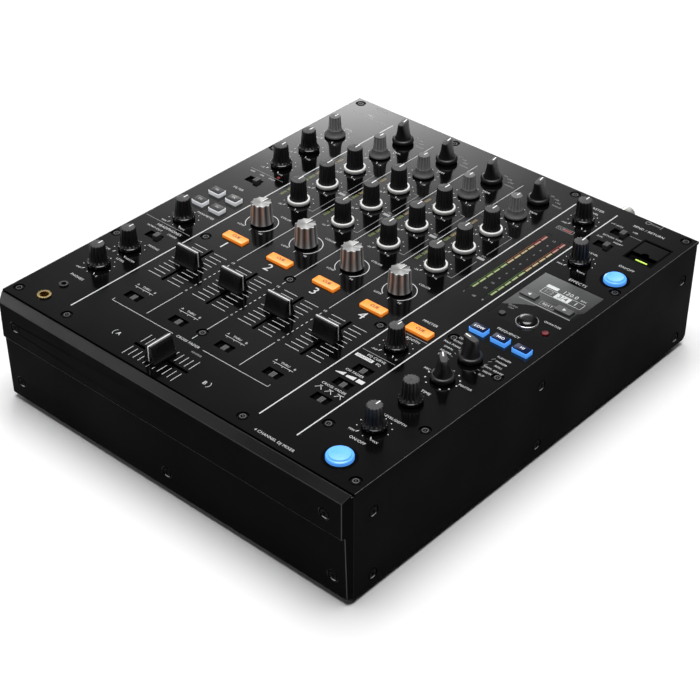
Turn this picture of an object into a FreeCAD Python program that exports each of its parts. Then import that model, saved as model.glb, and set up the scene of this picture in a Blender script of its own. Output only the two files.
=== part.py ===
import FreeCAD, Part
import os
import Sketcher
from FreeCAD import Placement, Rotation, Vector

# Four-channel DJ mixer with a flat control panel.  Millimetres, +X right, +Y towards the rear
# panel, +Z up.  The origin is on the surface that the feet stand on, below the middle of the plan.
# A control is placed by its distance from the middle of the panel (x) and by its row, which is its
# distance from the panel's front edge.

DIMENSIONS = {
    # case
    "plate_width": 320.0, "plate_depth": 366.6, "plate_thickness": 2.0, "front_edge": -186.75,
    "case_height": 84.2, "foot_height": 4.5, "foot_radius": 10.0, "foot_x": 132.0,
    "foot_front_row": 32.0, "foot_rear_row": 334.0, "wall": 1.4, "overhang": 0.6, "case_corner": 4.5,
    # front moulding: distances that it stands out in front of the panel's edge, and its heights
    "band_front": 7.2, "band_bottom": 50.5, "bevel_bottom": 79.0, "bevel_front": 1.8, "lip_gap": 1.4,
    "lower_front": 5.2, "base_front": 3.9, "end_taper": 3.4, "moulding_wall": 2.6,
    # rotary controls
    "shaft_radius": 3.0, "running_gap": 0.05, "shaft_bottom": 9.0, "shaft_top": 12.5,
    "bushing_radius": 3.9, "bushing_hole": 4.2, "unit_size": 12.0, "unit_top": 3.0, "unit_bottom": 10.0,
    "knob_gap": 0.8, "skirt_radius": 8.2, "tall_knob": 19.2, "slim_knob": 17.3, "level_knob": 17.4,
    "pointer_knob": 17.4, "metal_knob": 17.5,
    # columns and rows of the panel
    "first_channel": -87.5, "channel_pitch": 43.25, "left_column": -133.4, "master_column": 82.7,
    "effect_column": 127.0, "send_x": 112.3, "row_selector": 334.8, "row_trim": 307.5,
    "row_high": 279.0, "row_mid": 248.2, "row_low": 217.2, "row_colour": 178.5, "row_cue": 150.5,
    "row_fader": 104.6, "row_assign": 53.6, "row_cross": 17.6, "row_parameter": 145.1,
    "row_mixing": 92.3, "row_phones_level": 63.7, "row_booth": 127.6, "row_send": 288.7,
    "row_effect": 149.0, "row_effect_channel": 121.0, "row_time": 89.8, "row_depth": 55.3,
    # faders
    "fader_slot": 49.4, "fader_slot_width": 2.4, "fader_rest": 1.0, "cross_x": -22.5, "cross_rest": -0.5,
    "cap_length": 19.5, "cap_base": 11.0, "cap_ridge": 4.0, "cap_top": 13.6, "cap_foot": 2.0,
    "cap_gap": 0.6, "lever_width": 4.0, "lever_thickness": 1.2, "lever_depth": 8.0,
    "fader_unit_width": 9.0, "fader_unit_length": 68.0,
    # switches
    "slot_length": 13.5, "slot_width": 7.6, "handle_length": 4.0, "handle_width": 5.6,
    "lever_height": 2.6, "handle_drop": 0.6, "lever_shift": 3.0, "shutter_length": 21.5,
    "shutter_width": 9.6, "shutter_gap": 0.4, "shutter_thickness": 0.8,
    # buttons
    "button_gap": 0.35, "flange_gap": 0.3, "flange": 1.0, "stem_radius": 2.0, "stem_bottom": 7.6,
    "stop_top": 8.8, "cue_length": 20.0, "cue_width": 8.2, "cue_height": 1.8, "cue_shift": 1.2,
    "square_length": 11.0, "square_width": 8.2, "square_height": 3.3, "square_x": -131.5,
    "square_pitch": 17.2, "row_square": 177.0, "frequency_length": 12.3, "frequency_width": 7.6,
    "frequency_x": 129.5, "frequency_pitch": 17.6, "row_frequency": 177.3,
    "effect_switch_radius": 8.0, "effect_switch_x": 144.0, "row_effect_switch": 286.0,
    "large_switch_radius": 8.9, "large_switch_x": 130.6, "row_large_switch": 19.7,
    "round_height": 3.5, "round_recess": 2.2, "round_recess_depth": 1.0, "tap_radius": 8.0,
    "tap_x": 129.2, "row_tap": 206.4, "mini_radius": 2.4, "mini_x": 128.2, "mini_pitch": 35.6,
    "row_mini": 203.9, "mini_height": 1.0, "arrow_length": 13.0, "arrow_width": 6.4,
    "arrow_pitch": 29.0, "arrow_x": 125.6, "row_arrow": 233.0, "arrow_height": 1.2,
    # windows
    "display_width": 49.2, "display_depth": 64.2, "display_x": 127.1, "row_display": 230.9,
    "window_gap": 0.15, "window_drop": 0.1, "window_thickness": 1.2, "meter_width": 3.6,
    "meter_shift": -17.8, "channel_meter": 76.0, "row_channel_meter": 252.5, "master_meter": 95.0,
    "row_master_meter": 257.0, "master_meter_x": 83.5, "master_meter_pitch": 15.5, "lamp_radius": 1.5,
    "lamp_x": -122.0, "row_lamp": 232.0, "clip_lamp_x": 82.5, "row_clip_lamp": 315.8,
    # port bay with a hinged flap
    "bay_x": 141.9, "bay_width": 21.2, "bay_front": 316.2, "bay_rear": 342.5, "bay_depth": 15.0,
    "bay_wall": 1.2, "bay_shelf": 3.0, "flap_front": 325.6, "flap_thickness": 1.2, "flap_gap": 0.3,
    "flap_axis_drop": 1.5, "flap_axis_inset": 2.0, "flap_pin": 0.8, "flap_notch": 3.0,
    "port_length": 13.2, "port_width": 5.8, "port_shell": 0.4, "port_height": 7.0,
    "tongue_thickness": 1.4, "tongue_shift": 1.2, "tongue_gap": 1.0,
    # sockets of the panel and of the rear wall; heights are above the case's bottom
    "phones_x": -133.0, "row_phones_large": 14.0, "row_phones_small": 31.3, "jack_bore": 3.2,
    "jack_ring": 4.9, "jack_depth": 22.0, "small_bore": 1.8, "small_ring": 3.3, "small_depth": 14.0,
    "ring_height": 1.0, "jack_body": 11.6, "jack_floor": 1.5, "nut_radius": 6.2, "nut_height": 2.6,
    "phono_radius": 4.15, "phono_reach": 9.5, "phono_offset": 8.5, "phono_upper": 62.0,
    "phono_lower": 44.0, "phono_plate_width": 28.0, "phono_plate_height": 33.0, "socket_plate": 1.2,
    "record_x": -22.4, "record_height": 19.0, "booth_x": 72.0, "booth_pitch": 22.0, "booth_height": 50.0,
    "xlr_x": 72.0, "xlr_pitch": 32.0, "xlr_height": 21.0, "xlr_width": 26.0, "xlr_tall": 31.0,
    "xlr_recess": 9.4, "xlr_depth": 13.0, "xlr_body": 23.0, "xlr_pin": 1.2, "xlr_pin_ring": 4.4,
    "xlr_pin_length": 8.0, "socket_wall": 1.5, "inlet_x": 131.0, "inlet_height": 22.0, "inlet_width": 31.0,
    "inlet_tall": 25.0, "inlet_recess_width": 24.6, "inlet_recess_tall": 17.0, "inlet_depth": 16.0,
    "inlet_pin_width": 2.0, "inlet_pin_tall": 4.0, "inlet_pin_length": 12.0, "inlet_pin_pitch": 7.0,
    "inlet_pin_shift": 2.0,
    "rocker_height": 57.0, "rocker_frame_width": 17.0, "rocker_frame_tall": 25.0, "rocker_width": 12.0,
    "rocker_tall": 18.0, "rocker_gap": 0.8, "rocker_depth": 14.0, "rocker_pin": 1.2, "rocker_pivot": 2.6,
    "rocker_rise": 2.0, "rocker_hollow": 0.6, "rocker_skirt": 1.5, "rocker_back": 3.0,
    "rocker_back_half": 5.0, "rocker_pin_end": 1.3,
    "link_x": -121.0, "link_height": 22.0, "link_width": 16.0, "link_tall": 14.0,
    "link_recess_width": 11.9, "link_recess_tall": 8.0, "link_depth": 13.0, "data_x": -144.0,
    "data_width": 13.0, "data_tall": 13.0, "data_recess": 8.2, "data_depth": 10.0,
    "data_tongue_width": 5.0, "data_tongue_tall": 3.0, "data_tongue_length": 8.0,
    "post_x": 91.5, "post_height": 72.5, "post_radius": 6.2, "post_stem": 3.0, "post_head": 8.0,
    "rear_reach": 14.7,
    # fasteners
    "head_radius": 3.1, "head_height": 1.1, "head_top": 0.1, "hex_radius": 1.5, "hex_depth": 0.9,
    "recess_radius": 4.2, "recess_depth": 1.0, "shank_radius": 1.5, "shank_length": 6.0,
    "side_recess_radius": 3.7, "side_recess_depth": 1.0,
    # inside
    "board_thickness": 1.6, "board_margin": 9.0, "spacer_radius": 2.0, "spacer_x": 154.4,
    "board_gap": 1.0, "lower_board_z": 12.0, "lower_board_length": 210.0, "lower_board_width": 190.0,
    "lower_board_x": -30.0, "lower_row": 154.0, "pillar_radius": 3.0, "pillar_inset": 10.0,
    "supply_x": 118.0, "supply_length": 62.0, "supply_width": 96.0, "supply_height": 34.0,
    "stop_size": 6.0, "shaft_clear": 0.2, "lever_clear": 0.4,
}

doc = FreeCAD.newDocument("dj_mixer")
dims = doc.addObject("Spreadsheet::Sheet", "dims")
for line, (alias, value) in enumerate(DIMENSIONS.items(), start=1):
    dims.set("A%d" % line, alias)
    dims.set("B%d" % line, str(value))
    dims.setAlias("B%d" % line, alias)
doc.recompute()


class Size:
    """A length made from cells of the sheet: what it is worth, and the expression that gives it."""

    def __init__(self, worth, text):
        self.worth = worth
        self.text = text

    def __add__(self, other):
        other = size(other)
        return Size(self.worth + other.worth, "(%s + %s)" % (self.text, other.text))

    def __sub__(self, other):
        other = size(other)
        return Size(self.worth - other.worth, "(%s - %s)" % (self.text, other.text))

    def __mul__(self, factor):
        return Size(self.worth * factor, "%s * %s" % (self.text, factor))

    def __truediv__(self, factor):
        return Size(self.worth / factor, "%s / %s" % (self.text, factor))

    def __neg__(self):
        return Size(-self.worth, "(0 - %s)" % self.text)

    __radd__ = __add__
    __rmul__ = __mul__

    def __rsub__(self, other):
        return size(other) - self


def size(length):
    return length if isinstance(length, Size) else Size(float(length), repr(float(length)))


class Sheet:
    """Gives each cell of the sheet by its alias."""

    def __getattr__(self, alias):
        return Size(float(dims.get(alias)), "dims." + alias)


S = Sheet()
BOTTOM = S.foot_height
PANEL = S.foot_height + S.case_height
UNDER_PANEL = PANEL - S.plate_thickness
REAR = S.front_edge + S.plate_depth - S.overhang
SIDE = S.plate_width / 2 - S.overhang
BEYOND = 1.0

UPRIGHT = Rotation()
DOWN = Rotation(Vector(1, 0, 0), 180)
TO_REAR = Rotation(Vector(1, 0, 0), -90)
TO_FRONT = Rotation(Vector(1, 0, 0), 90)
TO_RIGHT = Rotation(Vector(0, 1, 0), 90)
TO_LEFT = Rotation(Vector(0, 1, 0), -90)
QUARTER = Rotation(Vector(0, 0, 1), 90)

subparts = []


def at_row(row):
    return S.front_edge + row


def above_bottom(height):
    return BOTTOM + height


def place(item, x, y, z, turn=UPRIGHT):
    item.Placement = Placement(Vector(), turn)
    for letter, length in zip("xyz", (x, y, z)):
        item.setExpression("Placement.Base." + letter, size(length).text)
    return item


def box(length, width, height, x, y, z):
    """Box whose middle is at x and y, and which stands on z."""
    solid = doc.addObject("Part::Box", "box")
    for prop, span in zip(("Length", "Width", "Height"), (length, width, height)):
        solid.setExpression(prop, size(span).text)
    return place(solid, x - size(length) / 2, y - size(width) / 2, z)


def rod(radius, height, x, y, z, turn=UPRIGHT):
    """Cylinder that starts at (x, y, z) and goes up, or the way that turn gives."""
    solid = doc.addObject("Part::Cylinder", "rod")
    solid.setExpression("Radius", size(radius).text)
    solid.setExpression("Height", size(height).text)
    return place(solid, x, y, z, turn)


def prism(radius, sides, height, x, y, z, turn=UPRIGHT):
    solid = doc.addObject("Part::Prism", "prism")
    solid.Polygon = sides
    solid.setExpression("Circumradius", size(radius).text)
    solid.setExpression("Height", size(height).text)
    return place(solid, x, y, z, turn)


def group(name, pieces):
    result = doc.addObject("Part::Compound", name)
    result.Links = pieces
    return result


def fuse(name, shapes):
    result = doc.addObject("Part::MultiFuse", name)
    result.Shapes = shapes
    result.Refine = True
    return result


def cut(name, base, tools):
    result = doc.addObject("Part::Cut", name)
    result.Base = base
    result.Tool = tools[0] if len(tools) == 1 else group(name + "_tools", tools)
    return result


def subpart(name, item):
    item.Label = name
    subparts.append(item)
    return item


# Sketched bodies

def sketch_on(body, name, role, height=0):
    sketch = body.newObject("Sketcher::SketchObject", name)
    plane = next(item for item in body.Origin.OriginFeatures if item.Role == role)
    sketch.AttachmentSupport = [(plane, "")]
    sketch.MapMode = "FlatFace"
    sketch.setExpression("AttachmentOffset.Base.z", size(height).text)
    return sketch


def hold(sketch, kind, geometry, point, length):
    """Hold one coordinate of a point at a length from the sketch's origin."""
    length = size(length)
    if abs(length.worth) < 1e-9:
        axis = -2 if kind == "DistanceX" else -1
        sketch.addConstraint(Sketcher.Constraint("PointOnObject", geometry, point, axis))
        return
    rule = sketch.addConstraint(Sketcher.Constraint(kind, -1, 1, geometry, point, length.worth))
    sketch.setExpression("Constraints[%d]" % rule, length.text)


def outline(sketch, points):
    """Closed polygon through points, each held by its two distances."""
    corners = [Vector(size(across).worth, size(along).worth, 0) for across, along in points]
    first = sketch.GeometryCount
    for start, end in zip(corners, corners[1:] + corners[:1]):
        sketch.addGeometry(Part.LineSegment(start, end))
    for index, (across, along) in enumerate(points):
        following = first + (index + 1) % len(points)
        sketch.addConstraint(Sketcher.Constraint("Coincident", first + index, 2, following, 1))
        hold(sketch, "DistanceX", first + index, 1, across)
        hold(sketch, "DistanceY", first + index, 1, along)


def disc(sketch, across, radius):
    """Circle with its centre on the sketch's X axis."""
    ring = sketch.addGeometry(Part.Circle(Vector(across.worth, 0, 0), Vector(0, 0, 1), radius.worth))
    hold(sketch, "DistanceX", ring, 3, across)
    hold(sketch, "DistanceY", ring, 3, 0)
    rule = sketch.addConstraint(Sketcher.Constraint("Radius", ring, radius.worth))
    sketch.setExpression("Constraints[%d]" % rule, radius.text)


def finish_cut(body, feature):
    """Recompute a pocket, and stop if it took nothing away."""
    doc.recompute()
    if feature.Shape.Volume > feature.BaseFeature.Shape.Volume - 1e-3:
        raise RuntimeError(feature.Name + " cuts nothing")
    body.Tip = feature


def turned(name, points):
    """Body turned about Z from a half profile of radii and heights."""
    body = doc.addObject("PartDesign::Body", name)
    sketch = sketch_on(body, name + "_profile", "XZ_Plane")
    outline(sketch, points)
    feature = body.newObject("PartDesign::Revolution", name + "_turned")
    feature.Profile = sketch
    feature.ReferenceAxis = (sketch, ["V_Axis"])
    feature.Angle = 360
    doc.recompute()
    return body


def flute(body, top, depth, distance, radius, count):
    """Upright grooves round a turned body, cut down from its top."""
    sketch = sketch_on(body, body.Name + "_groove", "XY_Plane", top)
    disc(sketch, size(distance), size(radius))
    pocket = body.newObject("PartDesign::Pocket", body.Name + "_flute")
    pocket.Profile = sketch
    pocket.setExpression("Length", size(depth).text)
    finish_cut(body, pocket)
    pattern = body.newObject("PartDesign::PolarPattern", body.Name + "_flutes")
    pattern.Originals = [pocket]
    pattern.Axis = (sketch, ["N_Axis"])
    pattern.Angle = 360
    pattern.Occurrences = count
    body.Tip = pattern
    doc.recompute()


def padded(name, role, points, length):
    """Body padded both ways from a profile."""
    body = doc.addObject("PartDesign::Body", name)
    sketch = sketch_on(body, name + "_profile", role)
    outline(sketch, points)
    pad = body.newObject("PartDesign::Pad", name + "_pad")
    pad.Profile = sketch
    pad.Midplane = True
    pad.setExpression("Length", size(length).text)
    doc.recompute()
    return body


def pocketed(body, name, role, outlines, length):
    """Cut outlines out of a body, both ways from one of its planes."""
    sketch = sketch_on(body, name + "_outline", role)
    for points in outlines:
        outline(sketch, points)
    pocket = body.newObject("PartDesign::Pocket", name)
    pocket.Profile = sketch
    pocket.Midplane = True
    pocket.setExpression("Length", size(length).text)
    finish_cut(body, pocket)


def mirrored(points):
    return [(-size(across), along) for across, along in points]


# Knobs.  Each kind of cap is made once, standing on a panel at Z = 0, and each knob of the panel is
# that cap with a shaft.

def cap(name, top, outside):
    """Turned cap: its outside corners from the foot to the top, and the socket for the shaft."""
    socket = S.shaft_radius + S.running_gap
    inside = [(0, top), (0, S.shaft_top), (socket, S.shaft_top), (socket, S.knob_gap)]
    return turned(name, [(S.skirt_radius, S.knob_gap)] + outside + inside)


def tall_cap():
    top = S.tall_knob
    body = cap("tall_cap", top, [
        (S.skirt_radius, 2.6), (7.4, 3.0), (6.2, 3.0), (5.7, top - 0.6), (5.2, top)])
    flute(body, top, top - 3.2, 6.35, 0.75, 18)
    return body


def slim_cap():
    top = S.slim_knob
    body = cap("slim_cap", top, [
        (S.skirt_radius, 1.6), (6.6, 2.6), (5.4, 4.4), (5.0, 6.2), (4.5, top - 0.5), (4.1, top)])
    flute(body, top, top - 4.8, 5.15, 0.6, 12)
    return body


def level_cap():
    top = S.level_knob
    body = cap("level_cap", top, [
        (S.skirt_radius, 2.6), (7.3, 4.0), (6.3, 4.4), (5.5, top - 0.5), (5.1, top)])
    flute(body, top, top - 4.6, 6.3, 0.7, 14)
    return body


def metal_cap():
    top = S.metal_knob
    body = cap("metal_cap", top, [(S.skirt_radius, 1.6), (7.7, top - 0.4), (7.3, top)])
    flute(body, top, top - 1.8, 10.1, 3.0, 10)
    return body


def pointer_cap():
    top = S.pointer_knob
    body = cap("pointer_cap", top, [
        (S.skirt_radius, 4.4), (7.6, 5.4), (6.6, 5.9), (5.8, 11.0), (5.6, top - 0.5), (5.2, top)])
    cheek = [(2.4, top + BEYOND), (3.4, 9.0), (5.0, 6.4), (9.0, 6.4), (9.0, top + BEYOND)]
    pocketed(body, "pointer_cheeks", "XZ_Plane", [cheek, mirrored(cheek)], 4 * S.skirt_radius)
    return body


CAPS = {
    "tall": tall_cap(),
    "slim": slim_cap(),
    "level": level_cap(),
    "metal": metal_cap(),
    "pointer": pointer_cap(),
}
SHAFT = rod(S.shaft_radius, S.shaft_top + S.shaft_bottom, 0, 0, -S.shaft_bottom)

# Degrees that the pointer knobs are turned by from straight to the rear.
SELECTOR_TURN = 11.25
EFFECT_TURN = 78.75
EFFECT_CHANNEL_TURN = 45.0

CHANNELS = range(4)


def channel_x(index):
    return S.first_channel + S.channel_pitch * index


def channel_knobs(index):
    x = channel_x(index)
    number = index + 1
    return [
        ("input_selector_knob_%d" % number, "pointer", x, S.row_selector, SELECTOR_TURN),
        ("trim_knob_%d" % number, "slim", x, S.row_trim, 0),
        ("eq_high_knob_%d" % number, "tall", x, S.row_high, 0),
        ("eq_mid_knob_%d" % number, "tall", x, S.row_mid, 0),
        ("eq_low_knob_%d" % number, "tall", x, S.row_low, 0),
        ("colour_knob_%d" % number, "metal", x, S.row_colour, 0),
    ]


SINGLE_KNOBS = [
    ("mic_level_knob", "slim", S.left_column, S.row_trim, 0),
    ("mic_high_knob", "level", S.left_column, S.row_high - 1.2, 0),
    ("mic_low_knob", "level", S.left_column, S.row_mid - 1.0, 0),
    ("effect_parameter_knob", "level", S.left_column, S.row_parameter, 0),
    ("headphone_mixing_knob", "level", S.left_column, S.row_mixing, 0),
    ("headphone_level_knob", "level", S.left_column, S.row_phones_level, 0),
    ("master_level_knob", "level", S.master_column, S.row_selector, 0),
    ("booth_level_knob", "level", S.master_column, S.row_booth, 0),
    ("send_level_knob", "level", S.send_x, S.row_send, 0),
    ("effect_select_knob", "pointer", S.effect_column, S.row_effect, EFFECT_TURN),
    ("effect_channel_knob", "pointer", S.effect_column, S.row_effect_channel, EFFECT_CHANNEL_TURN),
    ("effect_time_knob", "level", S.effect_column, S.row_time, 0),
    ("effect_depth_knob", "level", S.effect_column, S.row_depth, 0),
]
KNOBS = [knob for index in CHANNELS for knob in channel_knobs(index)] + SINGLE_KNOBS

for name, kind, x, row, turn in KNOBS:
    knob = subpart(name, group(name, [CAPS[kind], SHAFT]))
    place(knob, x, at_row(row), PANEL, Rotation(Vector(0, 0, 1), turn))


# Faders.  The cap stands across its slot, on a flat lever that runs in the unit below the panel.

def fader_cap():
    half_base = S.cap_base / 2
    half_ridge = S.cap_ridge / 2
    foot = S.cap_gap + S.cap_foot
    right = [(half_base, S.cap_gap), (half_base, foot), (half_base - 1.2, foot + 1.6),
             (half_ridge, S.cap_top - 0.5), (half_ridge - 0.5, S.cap_top)]
    return padded("fader_cap", "YZ_Plane", right + mirrored(right)[::-1], S.cap_length)


FADER_CAP = fader_cap()
FADER_LEVER = box(S.lever_thickness, S.lever_width, S.lever_depth + S.cap_gap, 0, 0, -S.lever_depth)

for index in CHANNELS:
    name = "channel_fader_%d" % (index + 1)
    fader = subpart(name, group(name, [FADER_CAP, FADER_LEVER]))
    place(fader, channel_x(index), at_row(S.row_fader + S.fader_rest), PANEL)
crossfader = subpart("crossfader", group("crossfader", [FADER_CAP, FADER_LEVER]))
place(crossfader, S.cross_x + S.cross_rest, at_row(S.row_cross), PANEL, QUARTER)


# Switches: the middle of each slot as (x, row)

ASSIGN_SWITCHES = [(channel_x(index) + 0.5, S.row_assign) for index in CHANNELS]
CURVE_SWITCHES = [(S.master_column + 0.7, row) for row in (94.5, 75.2, 54.8)]
LEVER_SWITCHES = [(S.left_column + 0.4, 217.0), (S.left_column + 0.9, 115.0),
                  (S.send_x - 0.3, 338.0), (S.send_x - 0.3, 317.5)]


def switch(x, row, top):
    """Handle up to a height over the panel, on a sliding shutter that closes the slot below it."""
    shutter_top = UNDER_PANEL - S.shutter_gap
    y = at_row(row)
    handle = box(S.handle_length, S.handle_width, PANEL + top - shutter_top, x, y, shutter_top)
    shutter = box(S.shutter_length, S.shutter_width, S.shutter_thickness, x, y,
                  shutter_top - S.shutter_thickness)
    return fuse("switch", [handle, shutter])


subpart("slide_switches", group("slide_switches", [
    switch(x, row, -S.handle_drop) for x, row in ASSIGN_SWITCHES + CURVE_SWITCHES]))
subpart("lever_switches", group("lever_switches", [
    switch(x + S.lever_shift, row, S.lever_height) for x, row in LEVER_SWITCHES]))


# Buttons: a cap that stands over the panel, a flange that holds it in, and a stem to its switch

CUE_BUTTONS = [(channel_x(index) + S.cue_shift, S.row_cue) for index in CHANNELS]
CUE_BUTTONS.append((S.master_column + 0.6, S.row_cue))
SQUARE_BUTTONS = [(S.square_x + S.square_pitch * across, S.row_square + S.square_pitch * along)
                  for across in (-0.5, 0.5) for along in (-0.5, 0.5)]
FREQUENCY_BUTTONS = [(S.frequency_x + S.frequency_pitch * step, S.row_frequency) for step in (-1, 0, 1)]
ARROW_BUTTONS = [(S.arrow_x + S.arrow_pitch * step, S.row_arrow) for step in (-0.5, 0.5)]
MINI_BUTTONS = [(S.mini_x + S.mini_pitch * step, S.row_mini) for step in (-0.5, 0.5)]
TAP_BUTTON = (S.tap_x, S.row_tap)
ROUND_SWITCHES = [(S.effect_switch_x, S.row_effect_switch, S.effect_switch_radius),
                  (S.large_switch_x, S.row_large_switch, S.large_switch_radius)]
FLANGE_TOP = UNDER_PANEL - S.flange_gap
FLANGE_BOTTOM = FLANGE_TOP - S.flange
STEM_FOOT = PANEL - S.stem_bottom


def block_button(x, row, length, width, height):
    y = at_row(row)
    cap_piece = box(length, width, PANEL + height - FLANGE_TOP, x, y, FLANGE_TOP)
    flange = box(length + 2 * S.flange, width + 2 * S.flange, S.flange, x, y, FLANGE_BOTTOM)
    stem = rod(S.stem_radius, FLANGE_BOTTOM - STEM_FOOT, x, y, STEM_FOOT)
    return fuse("button", [cap_piece, flange, stem])


def round_button(x, row, radius, height):
    y = at_row(row)
    cap_piece = rod(radius, PANEL + height - FLANGE_TOP, x, y, FLANGE_TOP)
    flange = rod(radius + S.flange, S.flange, x, y, FLANGE_BOTTOM)
    stem = rod(S.stem_radius, FLANGE_BOTTOM - STEM_FOOT, x, y, STEM_FOOT)
    return fuse("button", [cap_piece, flange, stem])


subpart("cue_buttons", group("cue_buttons", [
    block_button(x, row, S.cue_length, S.cue_width, S.cue_height) for x, row in CUE_BUTTONS]))
subpart("colour_effect_buttons", group("colour_effect_buttons", [
    block_button(x, row, S.square_length, S.square_width, S.square_height) for x, row in SQUARE_BUTTONS]))
subpart("frequency_buttons", group("frequency_buttons", [
    block_button(x, row, S.frequency_length, S.frequency_width, S.square_height)
    for x, row in FREQUENCY_BUTTONS]))
subpart("beat_buttons", group("beat_buttons", [
    block_button(x, row, S.arrow_length, S.arrow_width, S.arrow_height) for x, row in ARROW_BUTTONS
] + [
    round_button(x, row, S.mini_radius, S.mini_height) for x, row in MINI_BUTTONS
] + [round_button(*TAP_BUTTON, S.tap_radius, S.round_height)]))
subpart("on_off_buttons", group("on_off_buttons", [
    round_button(x, row, radius, S.round_height) for x, row, radius in ROUND_SWITCHES]))


# Windows: the display's cover, the lenses of the meters, and two lamps

WINDOW_Z = PANEL - S.window_drop - S.window_thickness
METERS = [(channel_x(index) + S.meter_shift, S.row_channel_meter, S.channel_meter) for index in CHANNELS]
METERS += [(S.master_meter_x + S.master_meter_pitch * step, S.row_master_meter, S.master_meter)
           for step in (-0.5, 0.5)]
LAMPS = [(S.lamp_x, S.row_lamp), (S.clip_lamp_x, S.row_clip_lamp)]


def display_cover():
    height = S.window_thickness
    plate = box(S.display_width, S.display_depth, height, S.display_x, at_row(S.row_display), WINDOW_Z)
    holes = [box(S.arrow_length + 2 * S.button_gap, S.arrow_width + 2 * S.button_gap, 3 * height,
                 x, at_row(row), WINDOW_Z - height) for x, row in ARROW_BUTTONS]
    rounds = [(x, row, S.mini_radius) for x, row in MINI_BUTTONS] + [(*TAP_BUTTON, S.tap_radius)]
    holes += [rod(radius + S.button_gap, 3 * height, x, at_row(row), WINDOW_Z - height)
              for x, row, radius in rounds]
    return cut("display_cover", plate, holes)


lenses = [box(S.meter_width, length, S.window_thickness, x, at_row(row), WINDOW_Z)
          for x, row, length in METERS]
lamps = [rod(S.lamp_radius, S.window_thickness, x, at_row(row), WINDOW_Z) for x, row in LAMPS]
subpart("windows", group("windows", [display_cover()] + lenses + lamps))


# Port bay: a tub with a shelf in front and a deep well behind, and the flap over the well

BAY_MIDDLE = (S.bay_front + S.bay_rear) / 2
BAY_LENGTH = S.bay_rear - S.bay_front
FLAP_AXIS_ROW = S.bay_rear - S.flap_axis_inset
FLAP_AXIS_Z = PANEL - S.flap_axis_drop
WELL_MIDDLE = (S.flap_front + S.bay_rear) / 2
WELL_LENGTH = S.bay_rear - S.flap_front


def port_bay():
    """Walls, floor and shelf of the tub.  The flap's pin turns in the walls at its two sides."""
    wall = S.bay_wall
    width = S.bay_width + 2 * wall
    foot = PANEL - S.bay_depth
    front = at_row(S.bay_front)
    rear = at_row(S.bay_rear)
    step = at_row(S.flap_front)
    shelf = box(width, S.flap_front - S.bay_front + wall, S.bay_depth - S.bay_shelf, S.bay_x,
                (front - wall + step) / 2, foot)
    floor = box(width, WELL_LENGTH + wall, wall, S.bay_x, (step + rear + wall) / 2, foot)
    pieces = [shelf, floor, box(width, wall, S.bay_shelf, S.bay_x, front - wall / 2, PANEL - S.bay_shelf),
              box(width, wall, S.bay_depth - wall, S.bay_x, rear + wall / 2, foot + wall)]
    for side in (-1, 1):
        x = S.bay_x + (S.bay_width + wall) / 2 * side
        low = box(wall, WELL_LENGTH, S.bay_depth - wall - S.bay_shelf, x, at_row(WELL_MIDDLE), foot + wall)
        high = box(wall, BAY_LENGTH, S.bay_shelf, x, at_row(BAY_MIDDLE), PANEL - S.bay_shelf)
        hole = rod(S.flap_pin + S.running_gap, 2 * wall, x - wall, at_row(FLAP_AXIS_ROW), FLAP_AXIS_Z,
                   TO_RIGHT)
        pieces += [low, cut("bay_side", high, [hole])]
    return pieces


def upright_port():
    """Rectangular metal port at the bottom of the well, open at the top, with its tongue."""
    x = S.bay_x
    y = at_row(WELL_MIDDLE)
    z = PANEL - S.bay_depth + S.bay_wall
    shell = box(S.port_length, S.port_width, S.port_height, x, y, z)
    inside = box(S.port_length - 2 * S.port_shell, S.port_width - 2 * S.port_shell, S.port_height,
                 x, y, z + 2 * S.port_shell)
    tongue = box(S.port_length - 2 * S.tongue_gap, S.tongue_thickness, S.port_height - 2 * S.tongue_gap,
                 x, y + S.tongue_shift, z + S.port_shell)
    return fuse("port", [cut("port_shell", shell, [inside]), tongue])


def flap():
    length = FLAP_AXIS_ROW - S.flap_front
    width = S.bay_width - 2 * S.flap_gap
    x = S.bay_x
    y = at_row(FLAP_AXIS_ROW)
    leaf = box(width, length, S.flap_thickness, x, y - length / 2, PANEL - S.flap_thickness)
    knuckle = rod(S.flap_axis_drop, width, x - width / 2, y, FLAP_AXIS_Z, TO_RIGHT)
    pin_reach = S.bay_width + 2 * S.bay_wall - 2 * S.flap_gap
    pin = rod(S.flap_pin, pin_reach, x - pin_reach / 2, y, FLAP_AXIS_Z, TO_RIGHT)
    notch = rod(S.flap_notch, 4 * S.flap_thickness, x, at_row(S.flap_front), PANEL - 2 * S.flap_thickness)
    return cut("port_flap", fuse("flap_leaf", [leaf, knuckle, pin]), [notch])


subpart("port_flap", flap())


# Sockets of the panel

def panel_jack(row, ring, bore, depth):
    """Headphone socket that stands a little over the panel, open at the top."""
    x = S.phones_x
    y = at_row(row)
    barrel = rod(ring, depth + S.ring_height, x, y, PANEL - depth)
    hole = rod(bore, depth + 2 * S.ring_height, x, y, PANEL - depth + S.jack_floor)
    return cut("panel_jack", barrel, [hole])


PANEL_JACKS = [(S.row_phones_large, S.jack_ring, S.jack_bore, S.jack_depth),
               (S.row_phones_small, S.small_ring, S.small_bore, S.small_depth)]


# Sockets of the rear wall.  Boxes and rods of the wall are given by x and height over the bottom.

def wall_box(width, tall, length, x, height, y):
    return box(width, length, tall, x, y + length / 2, above_bottom(height) - size(tall) / 2)


def wall_rod(radius, length, x, height, y):
    return rod(radius, length, x, y, above_bottom(height), TO_REAR)


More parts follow.
